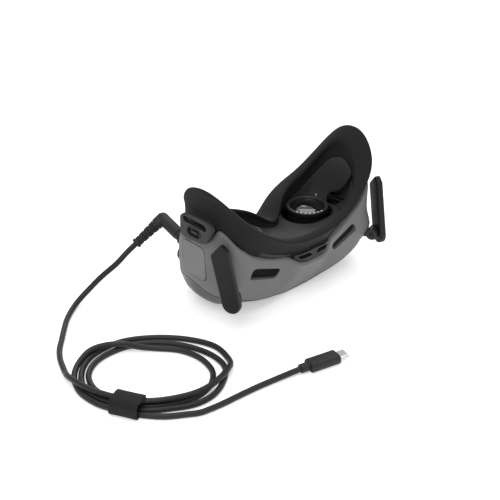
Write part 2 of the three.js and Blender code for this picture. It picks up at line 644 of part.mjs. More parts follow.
// ---------------------------------------------------------------- inside
for (const [name, side] of [['rail_forehead', -1], ['rail_nose', 1]]) {
  const end = vec(RAIL_LENGTH / 2, side * RAIL_Y, RAIL_Z);
  add(name, 'metal', rod(end.clone().setX(-end.x), end, RAIL_R, RAIL_R, 12));
}
add('main_board', 'circuit', block(-43, 43, -12, 20, 8.6, 10.2));

function heatSink() {
  const base = block(-44, -18, -13, 13, 10.55, 12);
  const fins = Array.from({ length: 7 }, (_, k) => {
    const x = -43.4 + k * 4.1;
    return block(x, x + 1, -13, 13, 11.5, 16.2);
  });
  return join(base, ...fins);
}
add('heat_sink', 'metal', heatSink());

function fanHousing() {
  const half = FAN_SIDE / 2;
  const topZ = FAN_BASE_Z + FAN_HEIGHT;
  const body = block(-half, half, FAN_Y - half, FAN_Y + half, FAN_BASE_Z, topZ);
  const wellR = ROTOR_R + 0.8;
  const well = rod(vec(0, FAN_Y, FAN_BASE_Z + 1), vec(0, FAN_Y, topZ + 1), wellR, wellR, 24);
  const outlet = block(2, ROTOR_R, FAN_Y - half - 1, FAN_Y, FAN_BASE_Z + 1, topZ - 1);
  const post = rod(vec(0, FAN_Y, FAN_BASE_Z + 0.5), vec(0, FAN_Y, FAN_BASE_Z + 4.5), 1.2, 1.2, 12);
  return join(cut(body, well, outlet), post);
}
add('fan_housing', 'black', fanHousing());

function fanRotor() {
  const [z0, z1] = [FAN_BASE_Z + 1.5, FAN_BASE_Z + 6.4];
  const hub = rod(vec(0, FAN_Y, z0), vec(0, FAN_Y, z1), 4.6);
  const blades = Array.from({ length: 9 }, (_, k) => (
    block(4, ROTOR_R, -0.4, 0.4, z0, z1 - 0.4).rotateZ((k / 9) * 2 * Math.PI).translate(0, FAN_Y, 0)
  ));
  const bore = rod(vec(0, FAN_Y, z0 - 1), vec(0, FAN_Y, FAN_BASE_Z + 5), 1.2 + GAP, 1.2 + GAP, 12);
  return cut(join(hub, ...blades), bore);
}
add('fan_rotor', 'dark', fanRotor());

// ---------------------------------------------------------------- nose side controls and ports
for (const [name, [x, z, r]] of Object.entries(BUTTONS)) {
  add(name, 'dark', rod(vec(x, 29.5, z), vec(x, 35.1, z), r));
}
function portShell() {
  const body = extruded(roundedShape(9, 3.4, 1.6), 7);
  const mouth = extruded(roundedShape(8, 2.4, 1.15), 6).translate(0, 0, 2);
  return placed(cut(body, mouth), ...rearFrame(USB_AT.x, USB_AT.y - 3.2, USB_AT.z));
}
add('usb_c_port', 'metal', portShell());
add('card_slot_cover', 'dark', placed(
  extruded(roundedShape(12, 1.6, 0.7), 6), ...rearFrame(CARD_AT.x, CARD_AT.y - 2.6, CARD_AT.z)));
SCREWS.forEach(([x, z], i) => {
  const y = z > 30 ? 29.2 : 33.2;
  const head = rod(vec(x, y - 1.2, z), vec(x, y, z), 1.5, 1.5, 12);
  const shank = rod(vec(x, y - 5, z), vec(x, y - 1, z), 0.9, 0.9, 8);
  add(`shell_screw_${i + 1}`, 'metal', join(head, shank));
});

const jackAt = (distance) => JACK.clone().addScaledVector(JACK_DIR, distance);
add('dc_jack', 'black', cut(rod(jackAt(-12), jackAt(0.2), 4.9), rod(jackAt(-10), jackAt(3), 3.2)));

// ---------------------------------------------------------------- charging lead
const elbow = jackAt(PLUG_REACH);
const onLead = (distance) => elbow.clone().addScaledVector(LEAD_DIR, distance);
add('dc_plug_barrel', 'metal', rod(jackAt(-9), jackAt(0.9), 2.75));
add('dc_plug_body', 'cable', join(
  rod(jackAt(1.2), jackAt(2.6), 3.9, PLUG_R),
  rod(jackAt(2.4), jackAt(PLUG_REACH + 3), PLUG_R),
  rod(onLead(-1), onLead(6.5), PLUG_R, PLUG_R - 0.4),
));
add('dc_strain_relief', 'cable', rod(onLead(6.8), onLead(RELIEF_END), 3.7, 2.6));

// Free stretch from the strain relief down to the table and along it to the loops.
const LEAD_ROUTE = [
  onLead(RELIEF_END + 0.3), onLead(RELIEF_END + 7), vec(-97, 57.5, 26.5), vec(-107.5, 62.5, 17.5),
  vec(-117.5, 65.5, 9.2), vec(-127, 65, 4.2), vec(-136, 60.5, 2.4), vec(-144.5, 54, 2.05),
  vec(-153, 45.5, 2.05), vec(-161.5, 36.5, 2.05), vec(-169.5, 28, 2.05), vec(-176, 18.5, 2.05),
  vec(-180.8, 8.5, 2.05), vec(-183.9, 2.1, 2.05), vec(-186.1, -1.9, 2.05),
];
// From the loops, along the table, to the USB-C plug.
const TAIL_ROUTE = [
  vec(-152.5, -86.5, 2.05), vec(-148, -88.4, 2.05), vec(-140, -90, 2.05), vec(-130, -91, 2.05),
  vec(-117, -91.6, 2.05), vec(-103, -92.6, 2.1), vec(-89, -94.4, 2.3), vec(-79, -96.2, 2.8),
  vec(-71, -97.9, 3.3),
];
add('cable_lead', 'cable', tube(LEAD_ROUTE, CABLE_R, 8, 26));
add('cable_tail', 'cable', tube(TAIL_ROUTE, CABLE_R, 8, 12));

// The loops as one ring, drawn together at the tie and open where the tie holds them.
function coilEdge([a, b], pinch) {
  const count = 48;
  return Array.from({ length: count }, (_, k) => {
    const angle = (k / count) * 2 * Math.PI;
    const own = angle - COIL_TURN;
    const nearTie = Math.exp((Math.cos(angle - TIE_ANGLE) - 1) / 0.18);
    const radius = 1 / Math.hypot(Math.cos(own) / a, Math.sin(own) / b) + pinch * nearTie;
    return new THREE.Vector2(radius, 0).rotateAround(new THREE.Vector2(), angle).add(COIL_CENTRE);
  });
}

function tieBlock(margin) {
  const [along, across, height] = TIE_SIZE;
  return extruded(roundedShape(across + margin, height + margin, 3.2), along + margin)
    .rotateX(Math.PI / 2).rotateZ(TIE_ANGLE)
    .translate(COIL_CENTRE.x, COIL_CENTRE.y, height / 2)
    .translate(TIE_RADIUS * Math.cos(TIE_ANGLE), TIE_RADIUS * Math.sin(TIE_ANGLE), 0);
}

const coilShape = new THREE.Shape(coilEdge(COIL_OUTER, COIL_PINCH[0]));
coilShape.holes.push(new THREE.Path(coilEdge(COIL_INNER, COIL_PINCH[1])));
const coilRing = extruded(coilShape, COIL_HEIGHT).translate(0, 0, COIL_HEIGHT / 2);
add('cable_coil', 'cable', cut(coilRing, tieBlock(2 * GAP)));
add('cable_tie', 'black', tieBlock(0));

const tailEnd = TAIL_ROUTE.at(-1);
const USB_DIR = vec(0.97, -0.21, 0).normalize();
const usbFrame = (distance) => [
  vec(0, 0, 1).cross(USB_DIR), vec(0, 0, 1), USB_DIR.clone(),
  tailEnd.clone().setZ(3.5).addScaledVector(USB_DIR, distance)];
add('usb_plug_body', 'cable', join(
  placed(extruded(roundedShape(11.2, 6.6, 2.6), 22, 0.5), ...usbFrame(17.5)),
  placed(extruded(roundedShape(6.4, 5.6, 2.7), 7), ...usbFrame(3.8))));
add('usb_plug_shell', 'metal', placed(extruded(roundedShape(8.3, 2.5, 1.2), 6.6), ...usbFrame(32.2)));

export default goggles;
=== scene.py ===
"""FPV goggles lying on their front cover, face seal up, with the charging lead plugged in.

Lengths in this file are millimetres in the frame of the CAD part, unless a comment says metres.
mesh_object(), basis() and add_cable() turn them into metres. +Z is up, +X is the wearer's left,
-Y the forehead side."""
import json
import math

import bmesh
import bpy
import numpy as np
from mathutils import Matrix, Vector


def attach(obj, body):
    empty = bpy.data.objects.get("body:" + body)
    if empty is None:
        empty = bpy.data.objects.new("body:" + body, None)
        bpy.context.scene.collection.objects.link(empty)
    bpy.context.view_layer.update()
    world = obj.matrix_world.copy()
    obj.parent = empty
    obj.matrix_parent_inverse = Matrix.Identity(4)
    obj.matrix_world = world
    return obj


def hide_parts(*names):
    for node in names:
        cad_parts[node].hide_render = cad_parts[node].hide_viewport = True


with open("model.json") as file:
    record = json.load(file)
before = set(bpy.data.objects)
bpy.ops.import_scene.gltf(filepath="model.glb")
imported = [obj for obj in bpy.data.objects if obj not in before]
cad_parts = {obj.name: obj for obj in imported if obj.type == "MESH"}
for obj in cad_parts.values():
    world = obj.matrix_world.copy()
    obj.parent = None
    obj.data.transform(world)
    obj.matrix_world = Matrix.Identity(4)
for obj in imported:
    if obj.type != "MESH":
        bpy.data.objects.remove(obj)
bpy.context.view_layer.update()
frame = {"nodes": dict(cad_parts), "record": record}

MM = 0.001
NODES = frame["nodes"]

# ------------------------------------------------------------------ camera
VIEW_TURN = math.radians(42.9)
VIEW_DOWN = math.radians(29.4)
CAMERA_DISTANCE = 983.5
CAMERA_AIM = Vector((0, 0, 49))       # midpoint of the two lens rings
AIM_RIGHT, AIM_UP = 17.56, 21.99      # the aim stands right of and above the picture's middle
SENSOR_WIDTH, FOCAL_LENGTH = 36, 100.8
FAR_CLIP = 20                         # metres


def add_camera():
    forward = Vector((math.sin(VIEW_TURN) * math.cos(VIEW_DOWN),
                      math.cos(VIEW_TURN) * math.cos(VIEW_DOWN), -math.sin(VIEW_DOWN)))
    right = Vector((math.cos(VIEW_TURN), -math.sin(VIEW_TURN), 0))
    up = right.cross(forward)
    camera = bpy.data.objects.new("camera", bpy.data.cameras.new("camera"))
    camera.data.sensor_width = SENSOR_WIDTH
    camera.data.lens = FOCAL_LENGTH
    camera.data.clip_end = FAR_CLIP
    at = CAMERA_AIM - forward * CAMERA_DISTANCE - right * AIM_RIGHT - up * AIM_UP
    camera.matrix_world = Matrix((right, up, -forward)).transposed().to_4x4()
    camera.location = at * MM
    bpy.context.scene.collection.objects.link(camera)
    bpy.context.scene.camera = camera


add_camera()


# ------------------------------------------------------------------ geometry tools
def catmull(points, per, closed=False):
    """Points on the centripetal Catmull-Rom curve, per steps from each given point to the next."""
    pts = np.asarray(points, float)
    if not closed:
        pts = np.vstack([2 * pts[0] - pts[1], pts, 2 * pts[-1] - pts[-2]])
    count = len(pts)
    spans = range(count) if closed else range(1, count - 2)
    out = []
    for i in spans:
        p0, p1, p2, p3 = (pts[(i + k) % count] for k in (-1, 0, 1, 2))
        gap = [max(1e-4, np.linalg.norm(b - a) ** 0.5)
               for a, b in ((p0, p1), (p1, p2), (p2, p3))]
        t1 = ((p1 - p0) / gap[0] - (p2 - p0) / (gap[0] + gap[1]) + (p2 - p1) / gap[1]) * gap[1]
        t2 = ((p2 - p1) / gap[1] - (p3 - p1) / (gap[1] + gap[2]) + (p3 - p2) / gap[2]) * gap[1]
        for k in range(per):
            t = k / per
            c2 = -3 * p1 + 3 * p2 - 2 * t1 - t2
            c3 = 2 * p1 - 2 * p2 + t1 + t2
            out.append(p1 + t1 * t + c2 * t * t + c3 * t ** 3)
    if not closed:
        out.append(pts[-2])
    return np.array(out)


STATIONS = 7       # from one landmark to the next


def ring(half):
    """Closed loop round the goggles from a list of landmarks on the wearer's left half."""
    left = np.array(half, float)
    right = left[1:-1][::-1] * (-1, 1, 1)
    return catmull(np.vstack([left, right]), STATIONS, closed=True)


def inset(loop, distance, rise=0.0):
    """The loop moved inwards in plan, and up by rise."""
    along = np.roll(loop, -1, 0) - np.roll(loop, 1, 0)
    inward = np.stack([-along[:, 1], along[:, 0], 0 * along[:, 0]], 1)
    inward /= np.linalg.norm(inward, axis=1)[:, None]
    return loop + inward * distance + (0, 0, rise)


def mix(a, b, t):
    return a * (1 - t) + b * t


SHARP = 35.0       # degrees between two faces that make a hard edge
MERGE = 1e-7       # metres


def finish_mesh(mesh, sharp=SHARP):
    """Faces outwards, smooth shading, and a hard edge where faces meet at more than sharp."""
    bm = bmesh.new()
    bm.from_mesh(mesh)
    bmesh.ops.remove_doubles(bm, verts=bm.verts, dist=MERGE)
    bmesh.ops.recalc_face_normals(bm, faces=bm.faces)
    bm.to_mesh(mesh)
    bm.free()
    mesh.polygons.foreach_set("use_smooth", [True] * len(mesh.polygons))
    mesh.set_sharp_from_angle(angle=math.radians(sharp))
    mesh.update()


def mesh_object(name, points, faces, sharp=SHARP):
    mesh = bpy.data.meshes.new(name)
    mesh.from_pydata([tuple(p) for p in np.asarray(points, float) * MM], [], faces)
    finish_mesh(mesh, sharp)
    obj = bpy.data.objects.new(name, mesh)
    bpy.context.scene.collection.objects.link(obj)
    return obj


def grid_faces(rows, count, wrap_rows):
    """Faces between loops of count points each, and from the last loop to the first if wrapped."""
    faces = []
    for j in range(rows if wrap_rows else rows - 1):
        for i in range(count):
            a, b = j * count + i, j * count + (i + 1) % count
            c, d = ((j + 1) % rows) * count + (i + 1) % count, ((j + 1) % rows) * count + i
            faces.append((a, b, c, d))
    return faces


def loft(name, rows, closed=True, caps=None, sharp=SHARP):
    """Skin over loops. closed joins the last to the first; caps closes the ends with points."""
    count = len(rows[0])
    points = np.vstack(rows)
    faces = grid_faces(len(rows), count, closed)
    if caps is not None:
        last = (len(rows) - 1) * count
        points = np.vstack([points, caps])
        for i in range(count):
            faces.append(((i + 1) % count, i, len(points) - 2))
            faces.append((last + i, last + (i + 1) % count, len(points) - 1))
    return mesh_object(name, points, faces, sharp)


def smooth_rows(rows, per, closed=True):
    """More loops between the given ones, on a smooth curve through them at each station."""
    stack = np.array(rows)
    columns = [catmull(stack[:, i], per, closed) for i in range(stack.shape[1])]
    return list(np.array(columns).transpose(1, 0, 2))


def basis(u, v, w, at):
    """Matrix that sets down a shape made round the origin, in metres."""
    m = Matrix((Vector(u), Vector(v), Vector(w))).transposed().to_4x4()
    m.translation = Vector(at) * MM
    return m


def upright(x, y, z):
    return basis((1, 0, 0), (0, 1, 0), (0, 0, 1), (x, y, z))


def facing(w, at):
    """Frame whose third axis is w and whose first lies level."""
    u = w.cross(Vector((0, 0, 1))).normalized()
    return basis(u, w.cross(u), w, at)


def on_side(sign, x, y, z):
    """Frame on the side of the goggles: first axis fore and aft, second up, third sideways."""
    return basis((0, sign, 0), (0, 0, 1), (1, 0, 0), (sign * x, y, z))


def on_rear(x, y, z):
    """Frame on the nose side: second axis up, third away from the goggles."""
    return basis((-1, 0, 0), (0, 0, 1), (0, 1, 0), (x, y, z))


def mirror_point(p, sign):
    return Vector((p[0] * sign, p[1], p[2]))


SIDES = (("left", 1), ("right", -1))


def modifier(obj, kind, **values):
    m = obj.modifiers.new(kind.lower(), kind)
    for key, value in values.items():
        setattr(m, key, value)


BEND = math.radians(40)      # edges sharper than this are rounded by a bevel


def apply_all(obj, sharp=SHARP):
    """Applies the modifiers, and sets the shading again."""
    graph = bpy.context.evaluated_depsgraph_get()
    mesh = bpy.data.meshes.new_from_object(obj.evaluated_get(graph))
    obj.modifiers.clear()
    obj.data = mesh
    finish_mesh(mesh, sharp)


def rounded(width, height, radius, lean=0.0, per=8):
    """Rectangle with round corners; lean shifts it sideways per unit of height."""
    out = []
    x, y = width / 2 - radius, height / 2 - radius
    for cx, cy, start in ((x, y, 0), (-x, y, 90), (-x, -y, 180), (x, -y, 270)):
        for k in range(per + 1):
            angle = math.radians(start + 90 * k / per)
            py = cy + radius * math.sin(angle)
            out.append((cx + radius * math.cos(angle) + lean * py, py))
    return out


def slab(name, outline, depth, place=None, bevel=0.0, segments=3, sharp=SHARP):
    """Plate of an outline in its own XY plane, depth thick and centred on it, with round edges."""
    n = len(outline)
    points = [(x, y, z) for z in (-depth / 2, depth / 2) for x, y in outline]
    faces = [tuple(reversed(range(n))), tuple(range(n, 2 * n))]
    faces += [(i, (i + 1) % n, n + (i + 1) % n, n + i) for i in range(n)]
    obj = mesh_object(name, points, faces, sharp)
    if bevel:
        modifier(obj, "BEVEL", width=bevel * MM, segments=segments, limit_method="ANGLE",
                 angle_limit=BEND)
        apply_all(obj, sharp)
    if place is not None:
        obj.data.transform(place)
        finish_mesh(obj.data, sharp)
    return obj


def lathe(name, profile, place=None, sides=64, sharp=SHARP):
    """Turned piece: profile is (radius, height) round the closed cross-section."""
    rows = []
    for r, h in profile:
        angles = np.linspace(0, 2 * math.pi, sides, endpoint=False)
        rows.append(np.stack([r * np.cos(angles), r * np.sin(angles), 0 * angles + h], 1))
    obj = loft(name, rows, sharp=sharp)
    if place is not None:
        obj.data.transform(place)
        finish_mesh(obj.data, sharp)
    return obj


def join(name, parts, sharp=SHARP):
    """One object of several, which are then gone."""
    bm = bmesh.new()
    for part in parts:
        bm.from_mesh(part.data)
    mesh = bpy.data.meshes.new(name)
    bm.to_mesh(mesh)
    bm.free()
    for part in parts:
        bpy.data.objects.remove(part)
    finish_mesh(mesh, sharp)
    obj = bpy.data.objects.new(name, mesh)
    bpy.context.scene.collection.objects.link(obj)
    return obj


def carve(obj, cutters, sharp=SHARP):
    """Takes the cutters' shapes out of obj."""
    for cutter in cutters:
        modifier(obj, "BOOLEAN", object=cutter, operation="DIFFERENCE", solver="EXACT")
    apply_all(obj, sharp)
    for cutter in cutters:
        bpy.data.objects.remove(cutter)


def sweep(name, path, section, closed=False, up=(0, 0, 1)):
    """Section, a list of (across, up) points, carried along a path. Open ends are capped."""
    path = np.asarray(path, float)
    n = len(path)
    rows = []
    for i in range(n):
        a = path[(i - 1) % n] if closed or i else path[0]
        b = path[(i + 1) % n] if closed or i < n - 1 else path[-1]
        along = (b - a) / np.linalg.norm(b - a)
        across = np.cross(along, up)
        across /= np.linalg.norm(across)
        over = np.cross(across, along)
        rows.append(np.array([path[i] + across * s + over * t for s, t in section]))
    if closed:
        return loft(name, rows, closed=True, sharp=40)
    return loft(name, rows, closed=False, caps=np.array([path[0], path[-1]]), sharp=40)


def circle(radius, sides):
    angles = [2 * math.pi * k / sides for k in range(sides)]
    return [(radius * math.cos(a), radius * math.sin(a)) for a in angles]


# ------------------------------------------------------------------ materials
class Graph:
    """Short way to write a material's nodes."""

    def __init__(self, name):
        self.material = bpy.data.materials.new(name)
        self.material.use_nodes = True
        self.tree = self.material.node_tree
        self.shader = self.tree.nodes["Principled BSDF"]
        self.place = self.add("ShaderNodeTexCoord").outputs["Object"]

    def add(self, kind, **values):
        node = self.tree.nodes.new(kind)
        for key, value in values.items():
            setattr(node, key, value)
        return node

    def link(self, a, b):
        self.tree.links.new(a, b)

    def noise(self, scale, detail=3.0, rough=0.55, vector=None):
        node = self.add("ShaderNodeTexNoise")
        node.inputs["Scale"].default_value = scale
        node.inputs["Detail"].default_value = detail
        node.inputs["Roughness"].default_value = rough
        self.link(vector or self.place, node.inputs["Vector"])
        return node.outputs["Fac"]

    def cells(self, scale):
        node = self.add("ShaderNodeTexVoronoi")
        node.inputs["Scale"].default_value = scale
        self.link(self.place, node.inputs["Vector"])
        return node.outputs["Distance"]

    def remap(self, value, low, high, to_low, to_high):
        node = self.add("ShaderNodeMapRange")
        self.link(value, node.inputs["Value"])
        limits = {"From Min": low, "From Max": high, "To Min": to_low, "To Max": to_high}
        for key, number in limits.items():
            node.inputs[key].default_value = number
        return node.outputs["Result"]

    def blend(self, factor, a, b):
        """Colour a where factor is 0, b where it is 1. Each is a colour or an output."""
        node = self.add("ShaderNodeMix", data_type="RGBA")
        self.link(factor, node.inputs["Factor"])
        for socket, value in ((node.inputs[6], a), (node.inputs[7], b)):
            if isinstance(value, (tuple, list)):
                socket.default_value = (*value, 1)
            else:
                self.link(value, socket)
        return node.outputs[2]

    def combine(self, a, b, kind="ADD"):
        node = self.add("ShaderNodeMath", operation=kind)
        for socket, value in zip(node.inputs, (a, b)):
            if isinstance(value, (int, float)):
                socket.default_value = value
            else:
                self.link(value, socket)
        return node.outputs[0]

    def bump(self, height, distance):
        node = self.add("ShaderNodeBump")
        node.inputs["Strength"].default_value = 1.0
        node.inputs["Distance"].default_value = distance * MM
        self.link(height, node.inputs["Height"])
        self.link(node.outputs["Normal"], self.shader.inputs["Normal"])

    def paint(self, color):
        self.link(color, self.shader.inputs["Base Color"])

    def gloss(self, value, low, high, to_low, to_high):
        self.link(self.remap(value, low, high, to_low, to_high), self.shader.inputs["Roughness"])

    def set(self, **values):
        for key, value in values.items():
            self.shader.inputs[key.replace("_", " ")].default_value = value


def shade(color, by):
    return tuple(min(1.0, c * by) for c in color)


def moulded(name, color, rough, grain=0.35, depth=0.03, vary=0.12, wear=0.5, **sockets):
    """Moulded plastic: fine spark-erosion grain, uneven colour and gloss, paler edges."""
    g = Graph(name)
    broad = g.noise(35, 4)
    fine = g.noise(1000 / grain, 2)
    base = g.blend(broad, shade(color, 1 - vary), shade(color, 1 + vary))
    speckle = g.blend(g.remap(fine, 0.35, 0.65, 0, 0.35), base, shade(color, 1.25))
    edge = g.add("ShaderNodeNewGeometry").outputs["Pointiness"]
    rub = g.combine(g.remap(edge, 0.53, 0.6, 0, wear), g.noise(300, 3), "MULTIPLY")
    g.paint(g.blend(rub, speckle, shade(color, 1.9)))
    smear = g.noise(60, 5, 0.7)
    g.gloss(smear, 0.3, 0.7, rough - 0.07, rough + 0.07)
    g.bump(fine, depth)
    g.set(**sockets)
    return g.material


def foam_skin(name, color):
    """Soft foam with a closed skin: pores, faint creases, dust-pale high spots."""
    g = Graph(name)
    pores = g.cells(1700)
    soft = g.noise(90, 5, 0.6)
    broad = g.noise(22, 3)
    base = g.blend(broad, shade(color, 0.86), shade(color, 1.16))
    dusty = g.blend(g.remap(soft, 0.5, 0.8, 0, 0.35), base, shade(color, 1.5))
    dark = g.blend(g.remap(pores, 0.05, 0.3, 0.5, 0), dusty, shade(color, 0.55))
    g.paint(dark)
    g.gloss(soft, 0.3, 0.75, 0.72, 0.9)
    g.bump(g.combine(g.remap(pores, 0.0, 0.4, 0, 0.6), g.combine(soft, 0.8, "MULTIPLY")), 0.05)
    g.set(Sheen_Weight=0.04, Sheen_Roughness=0.5, Specular_IOR_Level=0.1)
    return g.material


def rubber(name, color, rough, grain=0.5):
    """Cable sheath and moulding: a fine grain with paler scuffs."""
    g = Graph(name)
    fine = g.noise(1000 / grain, 3)
    scuff = g.noise(180, 6, 0.7)
    base = g.blend(g.noise(45, 4), shade(color, 0.85), shade(color, 1.2))
    g.paint(g.blend(g.remap(scuff, 0.55, 0.75, 0, 0.4), base, shade(color, 1.7)))
    g.gloss(scuff, 0.3, 0.7, rough - 0.06, rough + 0.1)
    g.bump(fine, 0.02)
    g.set(Specular_IOR_Level=0.3)
    return g.material


def metal(name, color, rough, along):
    """Metal with drawn lines along the axis whose number in along is small."""
    g = Graph(name)
    stretch = g.add("ShaderNodeMapping")
    stretch.inputs["Scale"].default_value = along
    g.link(g.place, stretch.inputs["Vector"])
    lines = g.noise(2500, 4, 0.6, stretch.outputs["Vector"])
    g.paint(g.blend(lines, shade(color, 0.82), shade(color, 1.08)))
    g.gloss(g.noise(120, 4), 0.3, 0.7, rough - 0.08, rough + 0.1)
    g.bump(lines, 0.008)
    g.set(Metallic=1.0)
    return g.material


def woven_tape(name, color):
    """Hook-and-loop tape: a mat of fine loops and knots."""
    g = Graph(name)
    fuzz = g.noise(2600, 5, 0.75)
    knots = g.cells(1300)
    base = g.blend(fuzz, shade(color, 0.5), shade(color, 1.7))
    g.paint(g.blend(g.remap(knots, 0.1, 0.5, 0.5, 0), base, shade(color, 0.6)))
    g.gloss(fuzz, 0.3, 0.7, 0.85, 1.0)
    g.bump(g.combine(fuzz, knots), 0.25)
    g.set(Sheen_Weight=0.06, Sheen_Roughness=0.6, Specular_IOR_Level=0.1)
    return g.material


def circuit_board(name, color):
    """Green lacquer over paler tracks, with gold pads."""
    g = Graph(name)
    pads = g.cells(420)
    tracks = g.noise(500, 2)
    base = g.blend(g.remap(tracks, 0.48, 0.52, 0, 0.6), color, shade(color, 1.8))
    g.paint(g.blend(g.remap(pads, 0.1, 0.14, 1, 0), base, (0.5, 0.36, 0.12)))
    g.gloss(tracks, 0.3, 0.7, 0.35, 0.55)
    g.bump(tracks, 0.02)
    return g.material


def dark_glass(name, color, rough, **sockets):
    """Glossy black window or coated lens, with a faint haze of dust and grease."""
    g = Graph(name)
    haze = g.noise(160, 5, 0.65)
    g.paint(g.blend(g.remap(haze, 0.4, 0.8, 0, 0.5), color, shade(color, 2.2)))
    g.gloss(haze, 0.3, 0.8, rough, rough + 0.07)
    g.bump(g.noise(1200, 2), 0.001)
    g.set(**sockets)
    return g.material


MAT = {
    "shell": moulded("shell_plastic", (0.122, 0.122, 0.1235), 0.52, vary=0.05,
                     Specular_IOR_Level=0.35),
    "touch_panel": moulded("touch_panel_plastic", (0.131, 0.131, 0.1325), 0.45, grain=0.25,
                           vary=0.05),
    "visor": moulded("visor_plastic", (0.018, 0.0185, 0.020), 0.36, grain=0.3, depth=0.012,
                     wear=0.3, Specular_IOR_Level=0.4),
    "board": moulded("board_plastic", (0.029, 0.0295, 0.030), 0.62, grain=0.4, depth=0.035,
                     Specular_IOR_Level=0.2),
    "dark_plastic": moulded("dark_plastic", (0.018, 0.0185, 0.0195), 0.5, grain=0.35,
                            Specular_IOR_Level=0.3),
    "black_plastic": moulded("black_plastic", (0.008, 0.008, 0.009), 0.45, grain=0.3,
                             Specular_IOR_Level=0.3),
    "black_gloss": dark_glass("black_gloss", (0.006, 0.006, 0.007), 0.06, Coat_Weight=0.6,
                              Coat_Roughness=0.03),
    "antenna": moulded("antenna_plastic", (0.0085, 0.0085, 0.0092), 0.48, grain=0.28, depth=0.02,
                       vary=0.08, Specular_IOR_Level=0.25),
    "foam": foam_skin("foam_skin", (0.0145, 0.0145, 0.015)),
    "mesh": moulded("wire_mesh", (0.012, 0.012, 0.0125), 0.45, grain=0.2,
                    Specular_IOR_Level=0.2),
    "steel": metal("steel", (0.62, 0.62, 0.63), 0.28, along=(0.1, 1, 1)),
    "aluminium": metal("aluminium", (0.72, 0.72, 0.73), 0.38, along=(1, 0.1, 1)),
    "circuit": circuit_board("circuit_board", (0.012, 0.07, 0.035)),
    "cable": rubber("cable_sheath", (0.014, 0.014, 0.0145), 0.42, grain=0.6),
    "cable_mould": rubber("cable_mould", (0.016, 0.016, 0.0165), 0.48),
    "tie_fabric": woven_tape("tie_tape", (0.014, 0.014, 0.015)),
    "lamp": moulded("light_guide", (0.4, 0.41, 0.42), 0.3, grain=0.3),
    "lens_glass": dark_glass("lens_coating", (0.008, 0.008, 0.009), 0.03, Coat_Weight=1.0,
                             Coat_Roughness=0.02),
    # near-black, almost glossless colour for the sheet behind the vent wires: painted shade for the
    # inside of the goggles
    "vent_painted_shade": moulded("vent_painted_shade", (0.0025, 0.0025, 0.0027), 0.7, Specular_IOR_Level=0.05),
    "tick_paint": moulded("tick_paint", (0.82, 0.82, 0.8), 0.5, grain=0.2, wear=0.0),
}


def dress(obj, slot, body, material=None):
    """Gives a new piece its material and the body it rides on."""
    obj.data.materials.clear()
    obj.data.materials.append(MAT[material or slot])
    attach(obj, body)


# ------------------------------------------------------------------ CAD nodes that stay
NODE_MERGE = 1e-6            # metres
NODE_EDGE = 0.25             # rounding of the CAD nodes' edges


def keep_cad_nodes():
    """Gives each CAD node its slot's material and rounded edges. The vertices stay."""
    slots = {s["node"]: s["material_slot"] for s in frame["record"]["subparts"]}
    for name, node in NODES.items():
        node.data.materials.clear()
        node.data.materials.append(MAT[slots[name]])
        modifier(node, "WELD", merge_threshold=NODE_MERGE)
        modifier(node, "BEVEL", width=NODE_EDGE * MM, segments=2, limit_method="ANGLE",
                 angle_limit=BEND, use_clamp_overlap=True)


keep_cad_nodes()
for side, sign in SIDES:     # the pins look blackened
    NODES[f"antenna_pin_{side}"].data.materials[0] = MAT["black_plastic"]

# ------------------------------------------------------------------ the charging lead
CABLE_D = 4.0
LAID = CABLE_D / 2 + 0.05    # height of the cable's middle where it lies on the table
COIL_CENTRE = Vector((-142, -37, 0))
JACK = Vector((-61, 28.8, 45))
JACK_DIR = Vector((0, 0.948, 0.318)).normalized()
LEAD_DIR = Vector((-0.808, 0.188, -0.559))
PLUG_REACH = 22              # from the socket to the corner of the plug
ELBOW = JACK + JACK_DIR * PLUG_REACH
RELIEF_START, RELIEF_END = 6.8, 26


def on_lead(distance):
    return ELBOW + LEAD_DIR * distance


# From the strain relief down to the table and on to the loops.
LEAD_ROUTE = [tuple(on_lead(d)) for d in (12, 20, RELIEF_END + 0.3, RELIEF_END + 7)] + [
    (-97, 57.5, 26.5), (-107.5, 62.5, 17.5), (-117.5, 65.5, 9.2), (-127, 65, 4.2),
    (-136, 60.5, 2.4), (-144.5, 54, LAID), (-153, 45.5, LAID), (-161.5, 36.5, LAID),
    (-169.5, 28, LAID), (-176, 18.5, LAID), (-180.8, 8.5, LAID), (-183.2, 3, 2.3),
]
